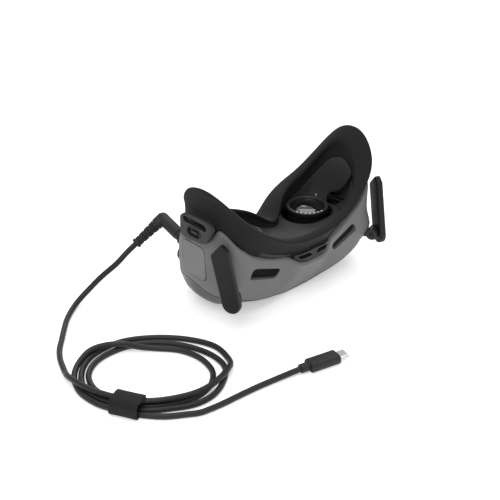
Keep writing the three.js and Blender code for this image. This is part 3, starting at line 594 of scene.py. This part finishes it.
# The three loops: angle in degrees and radius about COIL_CENTRE, and height of the cable's middle.
LOOPS = [
    (143, 55, 4.2), (154, 50.4, 6.1), (169, 44.4, 6.15), (189, 38.6, 6.15), (206, 36.2, 6.15),
    (225, 35.2, 6.15), (249, 35, 6.1), (274, 38, 6.1), (294, 41.5, 6.1), (310, 45, 6.1),
    (318, 47.2, 5.8), (327, 49.4, 4.0), (337, 50.5, 2.1), (357, 50, LAID), (380, 45.5, LAID),
    (410, 43, LAID), (439, 45, LAID), (459, 46, LAID), (475, 47, LAID), (492, 47, LAID),
    (513, 46.5, LAID), (529, 44.5, LAID), (548, 40.8, LAID), (566, 39.8, LAID), (585, 39.4, LAID),
    (606, 39.6, LAID), (628, 43, LAID), (649, 44.8, LAID), (676, 45.5, LAID), (691, 45.3, LAID),
    (710, 42, LAID), (738, 37.6, LAID), (770, 36.6, LAID), (802, 38, LAID), (834, 41.0, LAID),
    (858, 42.2, LAID), (880, 40.6, LAID), (900, 37.6, LAID), (915, 35.8, LAID), (926, 35.5, LAID),
    (946, 35.2, LAID), (969, 35.2, LAID), (994, 37.5, LAID), (1014, 38.2, LAID), (1027, 38, LAID),
    (1044, 37, LAID), (1070, 34, LAID), (1098, 31.4, LAID), (1130, 30, 2.1), (1150, 32, 3.6),
    (1164, 36.2, 6.0), (1178, 43.5, 6.2), (1190, 49, 5.2), (1205, 51.3, 2.5), (1221, 51.3, LAID),
    (1240, 50, LAID), (1260, 47, LAID), (1275, 44.6, LAID), (1286, 44, LAID), (1302, 44.6, LAID),
    (1318, 46.6, LAID), (1334, 49, LAID),
]
# From the loops along the table to the USB-C plug.
TAIL_ROUTE = [
    (-148, -88.4, LAID), (-140, -90, LAID), (-130, -91, LAID), (-117, -91.6, LAID),
    (-103, -92.6, 2.1), (-89, -94.4, 2.3), (-79, -96.2, 2.8), (-71, -97.9, 3.3),
    (-68, -98.5, 3.45),
]


def cable_points():
    turns = []
    for angle, radius, height in LOOPS:
        a = math.radians(angle)
        turns.append((COIL_CENTRE.x + radius * math.cos(a), COIL_CENTRE.y + radius * math.sin(a),
                      height))
    return catmull(LEAD_ROUTE + turns + TAIL_ROUTE, 8)


def add_cable():
    points = cable_points() * MM
    curve = bpy.data.curves.new("charging_cable", "CURVE")
    curve.dimensions = "3D"
    curve.bevel_depth = CABLE_D / 2 * MM
    curve.bevel_resolution = 5
    curve.use_fill_caps = True
    spline = curve.splines.new("POLY")
    spline.points.add(len(points) - 1)
    spline.points.foreach_set("co", np.hstack([points, np.ones((len(points), 1))]).ravel())
    spline.use_smooth = True
    cable = bpy.data.objects.new("charging_cable", curve)
    bpy.context.scene.collection.objects.link(cable)
    dress(cable, "cable", "goggles")
    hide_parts("cable_lead", "cable_coil", "cable_tail")
    return cable


cable = add_cable()


def ribbed_relief():
    """Tapered strain relief: ribs with staggered slots between them, and a collar at its end."""
    ribs, sides, rows = 7, 64, 120
    first_slot, slot_depth = 1.2, 1.5
    slot_from, slot_to = 0.12, 0.6           # of the pitch
    thick_end, narrowing = 4.15, 1.05        # radii
    collar_long, collar_radius = 2.0, 3.75
    lip_long, lip_radius = 0.5, 3.4
    length = RELIEF_END - RELIEF_START
    pitch = (length - 3.0) / ribs
    out = []
    for j in range(rows + 1):
        s = length * j / rows
        taper = thick_end - narrowing * s / length
        row = []
        for k in range(sides):
            angle = 2 * math.pi * k / sides
            phase = (s - first_slot) / pitch
            number, inside = int(phase // 1), phase % 1
            slotted = 0 <= number < ribs and slot_from < inside < slot_to
            turned = math.cos(2 * (angle + (number % 2) * math.pi / 2))
            radius = taper - (slot_depth if slotted and turned > -0.7 else 0.0)
            if s > length - collar_long:
                radius = collar_radius
            if s > length - lip_long:
                radius = lip_radius
            row.append((radius * math.cos(angle), radius * math.sin(angle), s))
        out.append(np.array(row))
    relief = loft("strain_relief_ribs", out, closed=False, caps=[(0, 0, 0), (0, 0, length)],
                  sharp=30)
    relief.data.transform(facing(LEAD_DIR.normalized(), on_lead(RELIEF_START)))
    dress(relief, "cable_mould", "goggles")
    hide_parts("dc_strain_relief")
    return relief


PLUG_PROFILE = [
    (0, 1.2), (3.5, 1.2), (3.9, 1.6), (4.0, 3.1), (3.75, 3.5), (3.75, 3.9), (4.35, 4.4), (4.4, 5),
    (4.4, 22.2), (4.15, 23.6), (3.3, 24.7), (2.9, 25), (0, 25)]
BRANCH_PROFILE = [(0, -1), (4.4, -1), (4.4, 3.4), (4.32, 5.8), (4.15, 6.5), (0, 6.5)]


def plug_body():
    """Right-angle plug: a barrel along the socket, chamfered at both ends, and the branch."""
    main = lathe("plug_main", PLUG_PROFILE, facing(JACK_DIR, JACK), sharp=28)
    branch = lathe("plug_branch", BRANCH_PROFILE, facing(LEAD_DIR.normalized(), ELBOW), sharp=28)
    modifier(main, "BOOLEAN", object=branch, operation="UNION", solver="EXACT")
    apply_all(main, 28)
    bpy.data.objects.remove(branch)
    main.name = "dc_plug_moulding"
    dress(main, "cable_mould", "goggles")
    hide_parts("dc_plug_body")
    return main


relief = ribbed_relief()
plug = plug_body()

TIE_ANGLE = math.radians(206.5)
TIE_RADIUS = 40.7            # from COIL_CENTRE
TIE_LONG = 19.0
TIE_WALL = 1.3
# The wrap's middle line as (outward, up): from its inner end up the inner side, over, down and
# under, to the free end on top.
TIE_LOOP = [
    (2, 9.2), (-3.5, 9.2), (-6.9, 8.2), (-7.75, 5.5), (-7.4, 2.2), (-5.6, 0.85), (0, 0.7),
    (5.6, 0.85), (7.4, 2.2), (7.75, 5.6), (7.1, 8.9), (5.0, 10.6), (1, 11.1), (-3.4, 11.0),
    (-6.3, 10.2), (-7.4, 9.4)]
TIE_STATIONS = [-0.5, -0.49, -0.4, -0.2, 0, 0.2, 0.4, 0.49, 0.5]      # of TIE_LONG


def cable_tie():
    """Hook-and-loop wrap round the four strands: a sleeve with its free end lapped over the top."""
    outward = Vector((math.cos(TIE_ANGLE), math.sin(TIE_ANGLE), 0))
    along = Vector((-outward.y, outward.x, 0))
    path = catmull([(x, y, 0) for x, y in TIE_LOOP], 7)
    rows = []
    for i, p in enumerate(path):
        a, b = path[max(0, i - 1)], path[min(len(path) - 1, i + 1)]
        normal = np.array([-(b - a)[1], (b - a)[0], 0])
        normal /= np.linalg.norm(normal)
        thick = TIE_WALL / 2 * (0.8 if i in (0, len(path) - 1) else 1)
        row = []
        for side in (1, -1):
            for e in TIE_STATIONS[::side]:
                thin = 0.55 if abs(e) == 0.5 else 1.0
                crown = 0.25 * math.cos(math.pi * e)
                row.append(p + normal * (side * thick * thin + crown * 0.4)
                           + np.array((0, 0, e * TIE_LONG)))
        rows.append(np.array(row))
    ends = [rows[0].mean(0), rows[-1].mean(0)]
    band = loft("tie_wrap", rows, closed=False, caps=ends, sharp=50)
    band.data.transform(basis(outward, Vector((0, 0, 1)), along,
                              COIL_CENTRE + outward * TIE_RADIUS))
    dress(band, "tie_fabric", "goggles")
    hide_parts("cable_tie")
    return band


tie = cable_tie()

# ------------------------------------------------------------------ landmark curves
SHELL_TOP = ring([
    (0, -40.2, 33.6), (12, -39.4, 34.5), (21.5, -35, 40), (33, -32.4, 42.6), (46, -30.6, 48.3),
    (57, -30.6, 57), (65, -28, 64.5), (70, -18.5, 71.5), (71.2, -9, 61.5), (70.8, 12, 58),
    (65.5, 26, 53.5), (48, 31.5, 49), (29, 31.5, 41), (14, 29, 31), (0, 26, 27)])
SHELL_BOTTOM = ring([
    (0, -20.5, 1.6), (12, -21.8, 2.9), (22, -24.6, 6.4), (34, -27, 9.8), (46, -27.5, 13.2),
    (57, -26.6, 17.2), (65, -23, 19.3), (69, -15, 20), (70.2, -6, 20.8), (70.4, 13, 24.6),
    (65, 27, 21), (47, 33.5, 14.5), (29, 34, 10.5), (14, 32, 8), (0, 31, 7)])
VISOR_RIM = ring([
    (0, -16, 0.5), (12, -17, 1.1), (21, -18.8, 2.8), (33, -18.5, 4.2), (43, -16, 5.6),
    (52, -13, 7), (59, -11, 8.2), (63.5, -7.5, 9), (65.4, -1.5, 9.6), (66, 11, 10.8),
    (61, 24, 10.6), (45, 30, 7), (28, 30.5, 4.6), (13, 28.5, 3), (0, 27.5, 2.4)])
FOAM_BASE = ring([
    (0, -37.6, 41.6), (11.5, -37.2, 41.2), (20.5, -33.9, 41.6), (32.5, -30.9, 43.4),
    (45, -29.2, 49.2), (55.6, -29, 57.8), (63.3, -26.6, 65.3), (68.2, -17.6, 72.4),
    (69.4, -8.5, 62.4), (69, 11, 58.8), (63.8, 24.6, 54.7), (47, 29.8, 50), (28.5, 29.6, 42),
    (13.5, 27.6, 32.2), (0, 24.4, 28.4)])
FOAM_LIP = ring([
    (0, -43, 51.5), (12, -43.2, 52.6), (22, -43.1, 54.8), (33, -42.6, 59.8), (46, -39.9, 67.8),
    (57, -36.9, 77.2), (65, -31.2, 86.6), (70.9, -19.5, 96.2), (73.2, -7.5, 99.8),
    (72.9, 8.4, 96), (66.5, 21, 79.5), (48, 26.8, 62.5), (31, 27.5, 57), (16, 28, 48.5),
    (0, 25, 36)])
FOAM_INNER = ring([
    (0, -35, 51.5), (11, -35, 52.4), (20, -34.8, 54), (30, -34, 57.5), (42, -31.8, 64.5),
    (52, -27.6, 73.5), (59, -20.5, 82.4), (62.8, -11.5, 89), (64.5, -3, 91), (63.4, 6, 88),
    (57.5, 14.5, 75), (43, 17, 63.5), (28, 15.5, 59.5), (12.5, 7.5, 56), (0, -1.5, 44.8)])


def softened(loop, passes=14):
    """The loop after some passes that draw each point towards its neighbours."""
    for _ in range(passes):
        loop = loop / 2 + (np.roll(loop, 1, 0) + np.roll(loop, -1, 0)) / 4
    return loop


FOAM_LIP, FOAM_INNER = softened(FOAM_LIP), softened(FOAM_INNER)
BOARD_EDGE = ring([
    (0, -33, 44.2), (11, -33, 44.4), (20, -32.6, 45.4), (30, -31.6, 47.5), (42, -29, 53),
    (51.5, -24.8, 60), (58, -18.5, 68), (61.8, -10.8, 74.5), (63.4, -2.5, 76.5),
    (62.3, 6.5, 73.5), (56.5, 14.8, 62.5), (43, 18, 51), (28.5, 17, 46.2), (13, 9.2, 43.6),
    (0, 0.3, 42.6)])
FLOOR_Z = 43
FLOOR_EDGE = ring([(x, y, FLOOR_Z) for x, y in (
    (0, -27.5), (10, -27.5), (19, -27.3), (29, -26.6), (39, -24.5), (46.5, -20.5), (51, -14.5),
    (53, -8), (53.6, -2), (52.8, 5), (48.5, 12.5), (38, 16.6), (27.5, 16.4), (12.6, 8.2),
    (0, -1.2))])

LENS_X = 32
KNOB_X, KNOB_Z = 50, 25      # the knob's axis


# ------------------------------------------------------------------ shell
VENT_ALONG, VENT_UP = Vector((25.2, 1.95, 8.15)), Vector((-0.8, -2.25, 7.65))
VENT_U = VENT_ALONG.normalized()
VENT_N = VENT_ALONG.cross(VENT_UP).normalized()
VENT_V = VENT_N.cross(VENT_U)
VENT_AT = Vector((38.4, -30.2, 32.6))
VENT_LONG, VENT_HIGH, VENT_LEAN = 25.4, 8.2, -0.15
SWELL_AT, SWELL, SWELL_WIDTH = (66, -24.5, 31), 4.6, 7.0
SWELL_DIR = (0.42, -0.91)    # outwards and to the forehead
SHELL_BELLY, SHELL_WALL = 3.2, 2.2
WALL_STATIONS = (0.1, 0.16, 0.23, 0.3, 0.4, 0.5, 0.6, 0.7, 0.84)
TOP_EDGE = ((0, -2.6), (0.25, -1.7), (0.8, -0.8), (1.7, -0.15), (2.3, -0.1))   # inset, rise
PANEL_OUTLINE = rounded(22.7, 25.7, 4, 0.06)
# Width, height and corner radius, and x and z of the middle, of the openings on the nose side.
USB_OPENING = ((9.8, 4.2, 1.9), (31, 26))
CARD_OPENING = ((12.6, 2.2, 0.9), (31, 18.5))
# x, z and radius of the holes for the two buttons and the four screws.
ROUND_HOLES = ((-33, 25, 3.95), (-22.5, 24, 2.75), (41, 16.5, 1.95), (58, 36, 1.95),
               (-41, 16.5, 1.95), (-58, 33, 1.95))
CUT_DEEP = 12


def vent_place(sign, sink=0.0):
    """Frame of the forehead vent on the wearer's left (sign 1) or right (sign -1)."""
    at = VENT_AT + VENT_N * sink
    u, v, w = (mirror_point(a, sign) for a in (VENT_U, VENT_V, VENT_N))
    return basis(u * sign, v, w, mirror_point(at, sign))


def swollen(loop):
    """The wall swells outwards above each antenna's hinge."""
    mirrored = np.column_stack([np.abs(loop[:, 0]), loop[:, 1:]])
    push = SWELL * np.exp(-(np.linalg.norm(mirrored - SWELL_AT, axis=1) / SWELL_WIDTH) ** 2 / 2)
    outwards, forwards = SWELL_DIR
    return loop + np.stack([np.sign(loop[:, 0]) * outwards * push, forwards * push, 0 * push], 1)


def rod(radius, low, high):
    """Profile of a plain cutter for a round hole."""
    return [(0, low), (radius, low), (radius, high), (0, high)]


def shell_cutters():
    cutters = []
    for side, sign in SIDES:
        vent = rounded(VENT_LONG, VENT_HIGH, 2.9, VENT_LEAN * sign)
        cutters.append(slab("cut", vent, CUT_DEEP, vent_place(sign)))
        cutters.append(slab("cut", rounded(12, 5, 2.4), CUT_DEEP,
                            on_rear(sign * KNOB_X, 32, KNOB_Z)))
    cutters.append(lathe("cut", rod(5.3, -12, 8), facing(JACK_DIR, JACK)))
    for size, (x, z) in (USB_OPENING, CARD_OPENING):
        cutters.append(slab("cut", rounded(*size), CUT_DEEP, on_rear(x, 33, z)))
    for side, sign in SIDES:
        outline = [(y * sign, z) for y, z in PANEL_OUTLINE]
        cutters.append(slab("cut", outline, 6, on_side(sign, 73.55, 4, 42)))
    for x, z, r in ROUND_HOLES:
        cutters.append(lathe("cut", rod(r, -7, 7), on_rear(x, 31, z)))
    return cutters


def shell_skin():
    def wall(t, inward=0.0):
        return inset(mix(SHELL_BOTTOM, SHELL_TOP, t), -SHELL_BELLY * t * (1 - t) + inward)
    outer = [inset(SHELL_BOTTOM, 0.35), wall(0.03)] + [swollen(wall(t)) for t in WALL_STATIONS]
    top = [inset(SHELL_TOP, inward, rise) for inward, rise in TOP_EDGE]
    inner = [inset(SHELL_TOP, 2.45, -1.0), wall(0.5, SHELL_WALL), inset(SHELL_BOTTOM, SHELL_WALL)]
    shell = loft("shell_skin", outer + top + inner, sharp=40)
    carve(shell, [join("cut_all", shell_cutters())], 40)
    dress(shell, "shell", "goggles")
    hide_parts("main_shell")


def visor_cover():
    thick = 2
    mid = VISOR_RIM * (0.72, 0.72, 0.24) + (0, 1.1, 0)
    flat = VISOR_RIM * (0.42, 0.46, 0) + (0, 2.1, 0)
    edge = inset(SHELL_BOTTOM, 0.25, -0.35)
    out = smooth_rows([flat, mid, VISOR_RIM, edge], 5, closed=False)
    inner = [inset(edge, thick), inset(VISOR_RIM, thick, 1.6), mid + (0, 0, thick),
             flat + (0, 0, thick)]
    visor = loft("visor_cover", out + inner, closed=False, caps=[(0, 4, 0), (0, 4, thick)],
                 sharp=40)
    windows = [lathe("cut", rod(4.6, -2, 12), upright(x, 9, 0)) for x in (49, -49)]
    carve(visor, [join("cut_all", windows)], 40)
    dress(visor, "visor", "goggles")
    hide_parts("front_visor")


shell_skin()
visor_cover()


# ------------------------------------------------------------------ foam face seal
SEAL_BULGE = 1.2


def face_foam():
    """Rolled soft seal: a seam bead close to the shell, a flared outer wall, a crowned contact band
    and an inner wall that leans in to the lens board."""
    def wall(t, inward=0.0):
        return inset(mix(FOAM_BASE, FOAM_LIP, t), SEAL_BULGE * 4 * t * (1 - t) + inward)

    def band(t, rise):
        return mix(FOAM_LIP, FOAM_INNER, t) + (0, 0, rise)

    def inside(t, inward):
        return inset(mix(FOAM_INNER, BOARD_EDGE, t), inward)
    rows = [inset(FOAM_BASE, 2.2, -0.2), inset(FOAM_BASE, 0.5, -0.3)]
    rows += [wall(*at) for at in (
        (0.03, -0.25), (0.09, -0.3), (0.14, 0.45), (0.2, 0.1), (0.4,), (0.65,), (0.86,),
        (0.97, -0.15))]
    rows += [band(*at) for at in (
        (0.05, 0.55), (0.18, 1.25), (0.4, 1.65), (0.62, 1.6), (0.8, 1.3), (0.92, 0.75),
        (1.0, -0.6))]
    rows += [inside(*at) for at in ((0.16, -0.1), (0.32, -0.9), (0.5, -1.6), (0.8, -1.3))]
    rows.append(inset(BOARD_EDGE, -0.8, -0.4))
    foam = loft("face_seal_foam", smooth_rows(rows, 3, closed=False), sharp=80)
    dress(foam, "foam", "goggles")
    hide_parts("face_foam")


face_foam()


# ------------------------------------------------------------------ lens board
BARREL_OPENING = (39.6, 31.6, 15.79)          # width, height and corner radius of a lens slot
SENSOR_OPENING, SENSOR_AT, SENSOR_TURN = (4.8, 21, 2.2), (56, -8, 50), 0.12
LAMP_X, LAMP_Y, LAMP_R = 51.5, 10.5, 1.1


def lens_board():
    """Dish round the two lenses, with slots for the barrels and holes for sensor and light."""
    slope = mix(BOARD_EDGE, FLOOR_EDGE, 0.55)
    slope[:, 2] = FLOOR_Z + (BOARD_EDGE[:, 2] - FLOOR_Z) * 0.33
    rows = smooth_rows([FLOOR_EDGE, slope, BOARD_EDGE], 6, closed=False)
    under = [r - (0, 0, 2) for r in reversed(rows)]
    board = loft("lens_board_skin", rows + under, closed=False,
                 caps=[(0, -14, FLOOR_Z), (0, -14, FLOOR_Z - 2)], sharp=40)
    cutters = [slab("cut", rounded(*BARREL_OPENING, per=16), 30,
                    upright(sign * LENS_X, 0, FLOOR_Z)) for side, sign in SIDES]
    c, s = math.cos(SENSOR_TURN), math.sin(SENSOR_TURN)
    cutters.append(slab("cut", rounded(*SENSOR_OPENING), 40,
                        basis((c, s, 0), (-s, c, 0), (0, 0, 1), SENSOR_AT)))
    cutters.append(lathe("cut", rod(LAMP_R, 30, 80), upright(LAMP_X, LAMP_Y, 0), 24))
    carve(board, cutters, 40)
    dress(board, "board", "goggles")
    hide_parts("lens_board")


lens_board()


# ------------------------------------------------------------------ optics
TUBE_PROFILE = [
    (12.2, 29.5), (14.4, 29.5), (14.4, 44.6), (14.9, 45.1), (15.1, 45.5), (15.1, 48.3),
    (14.95, 48.8), (14.5, 49), (13.35, 49), (13.1, 48.75), (12.6, 48.1), (12.35, 48.05),
    (12.2, 47.9), (12.2, 47.2), (11.75, 46.6), (11.75, 40)]
FRONT_RING_PROFILE = [
    (12.66, 48.16), (15.08, 48.12), (15.13, 48.5), (14.95, 48.85), (14.5, 49.03), (13.3, 49.03),
    (13.05, 48.8)]
RACK_OUTLINE = [(39.5, 27), (39.5, 30.6), (47.4, 30.6), (47.4, 20.2), (45.6, 20.2), (45.6, 27)]
RACK_Y, RACK_THICK = 10.5, 5
TICKS, FIRST_TICK, TICK_STEP = 7, -166, 13           # degrees
TICK_RADIUS, TICK_Z = 13.75, 49.04
LENS_R, LENS_EDGE, LENS_RISE = 11.6, 45.3, 3.9
DOME_STEPS, DOME_FULLNESS = 18, 0.92


def barrel(side, sign):
    """Lens barrel with its front ring, the marks on it and the focus rack's arm."""
    body = f"optic_{side}"
    place = upright(sign * LENS_X, 0, 0)
    tube = lathe(f"barrel_tube_{side}", TUBE_PROFILE, place, sides=96, sharp=28)
    dress(tube, "black_plastic", body)
    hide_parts(f"lens_barrel_{side}")
    top = lathe(f"barrel_ring_{side}", FRONT_RING_PROFILE, place, sides=96, sharp=28)
    dress(top, "dark_plastic", body)
    arm = slab(f"focus_rack_{side}", RACK_OUTLINE, RACK_THICK,
               basis((sign, 0, 0), (0, 0, 1), (0, 1, 0), (0, RACK_Y, 0)), 0.2)
    dress(arm, "black_plastic", body)
    ticks = []
    for k in range(TICKS):
        angle = math.radians(FIRST_TICK + TICK_STEP * k)
        u = Vector((math.cos(angle), math.sin(angle), 0))
        v = Vector((-u.y, u.x, 0))
        at = Vector((sign * LENS_X, 0, TICK_Z)) + u * TICK_RADIUS
        ticks.append(slab("tick", rounded(1.7, 0.62, 0.25, per=3), 0.1,
                          basis(v, u, v.cross(u), at)))
    marks = join(f"barrel_ticks_{side}", ticks)
    dress(marks, "lamp", body, "tick_paint")


def lens(side, sign):
    profile = [(0, 42.6), (11.4, 42.6), (LENS_R, 42.8), (LENS_R, LENS_EDGE)]
    for k in range(1, DOME_STEPS):
        angle = math.radians(90 * k / DOME_STEPS)
        profile.append((LENS_R * math.cos(angle) ** DOME_FULLNESS,
                        LENS_EDGE + LENS_RISE * math.sin(angle)))
    profile.append((0, LENS_EDGE + LENS_RISE))
    glass = lathe(f"lens_dome_{side}", profile, upright(sign * LENS_X, 0, 0), sides=96, sharp=50)
    dress(glass, "lens_glass", f"optic_{side}")
    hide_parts(f"lens_{side}")


for side, sign in SIDES:
    barrel(side, sign)
    lens(side, sign)


# ------------------------------------------------------------------ forehead vents
WIRE_PITCH, WIRE_RADIUS, WIRE_SLOPE = 1.5, 0.15, 52      # the slope in degrees
WIRE_LIFT, WIRE_REACH = 0.16, 30
# the second is how deep the near-black sheet of painted shade lies behind the vent
CLOTH_SINK, SHADE_SHEET_SINK = -0.9, -2.0


def clip(a, b, half_u, lean):
    """The part of the line from a to b whose leaning coordinate is within half_u, or None."""
    ua, ub = a.x - lean * a.y, b.x - lean * b.y
    if ua > ub:
        a, b, ua, ub = b, a, ub, ua
    if ub < -half_u or ua > half_u:
        return None
    t0 = max(0, (-half_u - ua) / (ub - ua))
    t1 = min(1, (half_u - ua) / (ub - ua))
    if t1 - t0 < 0.05:
        return None
    return a.lerp(b, t0), a.lerp(b, t1)


def vent_wires(lean):
    """Two sets of crossing wires, one over the other."""
    wires = []
    half_u, half_v = VENT_LONG / 2 - 0.5, VENT_HIGH / 2 - 0.5
    count = int(2 * WIRE_REACH / WIRE_PITCH)
    for direction in (1, -1):
        slope = math.radians(WIRE_SLOPE) * direction
        step = Vector((math.cos(slope), math.sin(slope)))
        lift = WIRE_LIFT * direction
        for k in range(count):
            start = Vector(((k - count / 2) * WIRE_PITCH / math.sin(abs(slope)), 0))
            low, high = (-half_v) / step.y, half_v / step.y
            clipped = clip(start + step * low, start + step * high, half_u, lean)
            if clipped:
                path = [(p.x, p.y, lift) for p in clipped]
                wires.append(sweep("wire", path, circle(WIRE_RADIUS, 6)))
    return wires


def vent_mesh(side, sign):
    """Wire cloth in a thin frame in the vent opening, and behind it a near-black sheet of painted
    shade that stands for the shaded inside of the goggles.
    """
    lean = VENT_LEAN * sign
    outline = rounded(VENT_LONG - 0.8, VENT_HIGH - 0.8, 2.6, lean, per=6)
    border = sweep("frame", [(x, y, 0) for x, y in outline], circle(0.42, 8), closed=True)
    cloth = join(f"vent_wire_{side}", vent_wires(lean) + [border], 60)
    cloth.data.transform(vent_place(sign, CLOTH_SINK))
    dress(cloth, "mesh", "goggles")
    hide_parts(f"vent_mesh_{side}")
    # the near-black sheet is painted shade, standing for the dark inside of the goggles seen
    # through the wires
    shade_sheet = slab(f"vent_shade_sheet_{side}", outline, 0.3, vent_place(sign, SHADE_SHEET_SINK))
    dress(shade_sheet, "black_plastic", "goggles", "vent_painted_shade")


for side, sign in SIDES:
    vent_mesh(side, sign)


# ------------------------------------------------------------------ strap brackets
BRACKET_CORNERS = [           # (y, z)
    (11.4, 60.4), (0, 60.0), (-9.5, 61.0), (-13.2, 62.8), (-16, 66.4), (-18.4, 71.0),
    (-20.4, 75.2), (-19.8, 78.0), (-16.8, 79.6), (-12, 80), (-4, 79.9), (4, 79.2), (9.4, 77.4),
    (12.4, 74.2), (13, 70)]
BRACKET_X, BRACKET_THICK = 74.7, 3.0
STRAP_SLOT, STRAP_SLOT_Y, STRAP_SLOT_Z = (23, 5.2, 2.2), -2.8, 74.3
RECESS, RECESS_Y, RECESS_Z = (12.6, 6.4, 3.1), -1.2, 66.6
LEAN_FROM, LEAN_SPAN, LEAN_OUT = 72, 5, 0.9      # the bar stands out above this height


def strap_bracket(side, sign):
    """Plate with an oval recess and its peg, and over it the arched bar for the strap."""
    outline = [(y * sign, z) for y, z, _ in
               catmull([(y, z, 0) for y, z in BRACKET_CORNERS], 4, closed=True)]
    plate = slab("plate", outline, BRACKET_THICK, on_side(sign, BRACKET_X, 0, 0), 0.7)
    slot = [(y * sign, z) for y, z in rounded(*STRAP_SLOT)]
    recess = rounded(*RECESS)
    carve(plate, [slab("cut", slot, CUT_DEEP, on_side(sign, BRACKET_X, STRAP_SLOT_Y, STRAP_SLOT_Z)),
                  slab("cut", [(y * sign, z) for y, z in recess], 3.4,
                       on_side(sign, 76.2, RECESS_Y, RECESS_Z))])
    for vertex in plate.data.vertices:
        rise = min(1.0, max(0.0, (vertex.co.z / MM - LEAN_FROM) / LEAN_SPAN))
        vertex.co.x += sign * LEAN_OUT * MM * rise * rise * (3 - 2 * rise)
    foot = slab("foot", rounded(17, 2.4, 0.6), 1.8, on_side(sign, 72.7, 2, 61.5))
    rim = sweep("rim", [(sign * 76.25, y * 1.04 + RECESS_Y, z * 1.06 + RECESS_Z)
                        for y, z in recess], circle(0.4, 8), closed=True, up=(1, 0, 0))
    peg = slab("peg", rounded(6.6, 2.2, 1.0), 1.5, on_side(sign, 75.2, RECESS_Y, 66.4), 0.4)
    bracket = join(f"strap_bracket_body_{side}", [plate, foot, rim, peg])
    dress(bracket, "dark_plastic", "goggles")
    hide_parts(f"strap_bracket_{side}")


for side, sign in SIDES:
    strap_bracket(side, sign)


# ------------------------------------------------------------------ antennas
HINGE = Vector((67.3, -32.2, 25.5))
HINGE_AXIS = Vector((math.cos(math.radians(25)), math.sin(math.radians(25)), 0))
TO_SHELL = Vector((-HINGE_AXIS.y, HINGE_AXIS.x, 0))
BLADE_N = Vector((0.94, -0.34, 0)).normalized()
BLADE_W = Vector((0.066, 0.221, 0.973)).normalized().cross(BLADE_N).normalized()
BLADE_D = BLADE_N.cross(BLADE_W)


PADDLE_HALF = 6.75
PADDLE_LONG = 50 - PADDLE_HALF             # from the hinge end's centre to the top
PADDLE_THICK, PADDLE_EDGE = 4.8, 1.2
PADDLE_OFFSET, PADDLE_START = 5.4, 1.2     # from the hinge outwards, and down
# The slanted top, as distances in from the near edge, from the far edge, and down from the top.
TOP_NEAR = [(0, 7.8), (0.25, 6.5), (0.9, 5.7), (1.8, 5.0)]
TOP_MIDDLE = [(-0.9, 0.7), (-1.7, 0.2), (-2.5, 0), (-3.3, 0.25), (-4.1, 0.9)]
TOP_FAR = [(1.3, 2.8), (0.5, 3.7), (0.1, 4.5), (0, 5.4)]
KNUCKLE_R, KNUCKLE_FACE = 4.55, 3.65
EAR_PROFILE = [(1.6, KNUCKLE_FACE), (3.9, KNUCKLE_FACE), (4.2, 3.95), (4.2, 5.15), (3.9, 5.45),
               (1.6, 5.45)]


def paddle_outline():
    outline = [(PADDLE_HALF * math.cos(a), PADDLE_HALF * math.sin(a))
               for a in np.linspace(math.pi, 2 * math.pi, 33)]
    outline += [(PADDLE_HALF - across, PADDLE_LONG - down) for across, down in TOP_NEAR]
    outline += [(across, PADDLE_LONG - down) for across, down in TOP_MIDDLE]
    return outline + [(across - PADDLE_HALF, PADDLE_LONG - down) for across, down in TOP_FAR]


def antenna(side, sign):
    """Paddle with a round lower end, grooved where the knuckle turns, and the pin's ear."""
    at = mirror_point(HINGE + BLADE_N * PADDLE_OFFSET - BLADE_D * PADDLE_START, sign)
    w, d, n = (mirror_point(a, sign) for a in (BLADE_W, BLADE_D, BLADE_N))
    body = slab(f"antenna_paddle_{side}", paddle_outline(), PADDLE_THICK, basis(w, d, n, at),
                PADDLE_EDGE, 4, sharp=25)
    axis, inward = mirror_point(HINGE_AXIS, sign), mirror_point(TO_SHELL, sign)
    turn = basis(inward, (0, 0, 1), axis, mirror_point(HINGE, sign))
    carve(body, [lathe("cut", rod(KNUCKLE_R, -9, KNUCKLE_FACE), turn)], 25)
    ear = lathe("ear", EAR_PROFILE, turn)
    body = join(f"antenna_paddle_{side}", [body, ear], 25)
    dress(body, "antenna", f"antenna_{side}")
    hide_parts(f"antenna_{side}")


for side, sign in SIDES:
    antenna(side, sign)


# ------------------------------------------------------------------ studio
FLOOR_SIZE, FLOOR_THICK, FLOOR_GLOW = 6000, 4, 0.4
WORLD_STRENGTH = 0.62
LIGHTS_AIM = Vector((-40, -10, 20))
LIGHTS = (                    # name, place, size and watts
    ("key", (-900, -500, 1300), 900, 8.5),
    ("top", (300, 300, 1500), 1200, 9),
    ("front", (500, -1300, 700), 700, 2),
    ("rim", (650, 800, 620), 260, 1.6))


def studio():
    """Pale paper floor, plain white surroundings and four area lights."""
    scene = bpy.context.scene
    scene.view_settings.view_transform = "Standard"
    scene.view_settings.look = "None"
    floor = slab("studio_floor", rounded(FLOOR_SIZE, FLOOR_SIZE, 100), FLOOR_THICK,
                 upright(0, 0, -FLOOR_THICK / 2))
    g = Graph("floor_paper")
    g.paint(g.blend(g.noise(4, 3), (0.9, 0.9, 0.9), (0.92, 0.92, 0.92)))
    g.set(Roughness=0.9, Specular_IOR_Level=0.1, Emission_Color=(1, 1, 1, 1),
          Emission_Strength=FLOOR_GLOW)
    floor.data.materials.append(g.material)
    world = bpy.data.worlds.new("studio")
    world.use_nodes = True
    world.node_tree.nodes["Background"].inputs["Color"].default_value = (1, 1, 1, 1)
    world.node_tree.nodes["Background"].inputs["Strength"].default_value = WORLD_STRENGTH
    scene.world = world
    for name, at, size, power in LIGHTS:
        light = bpy.data.objects.new(name, bpy.data.lights.new(name, "AREA"))
        light.data.energy = power
        light.data.size = size * MM
        light.location = Vector(at) * MM
        light.rotation_euler = (LIGHTS_AIM - Vector(at)).to_track_quat("-Z", "Y").to_euler()
        scene.collection.objects.link(light)


studio()
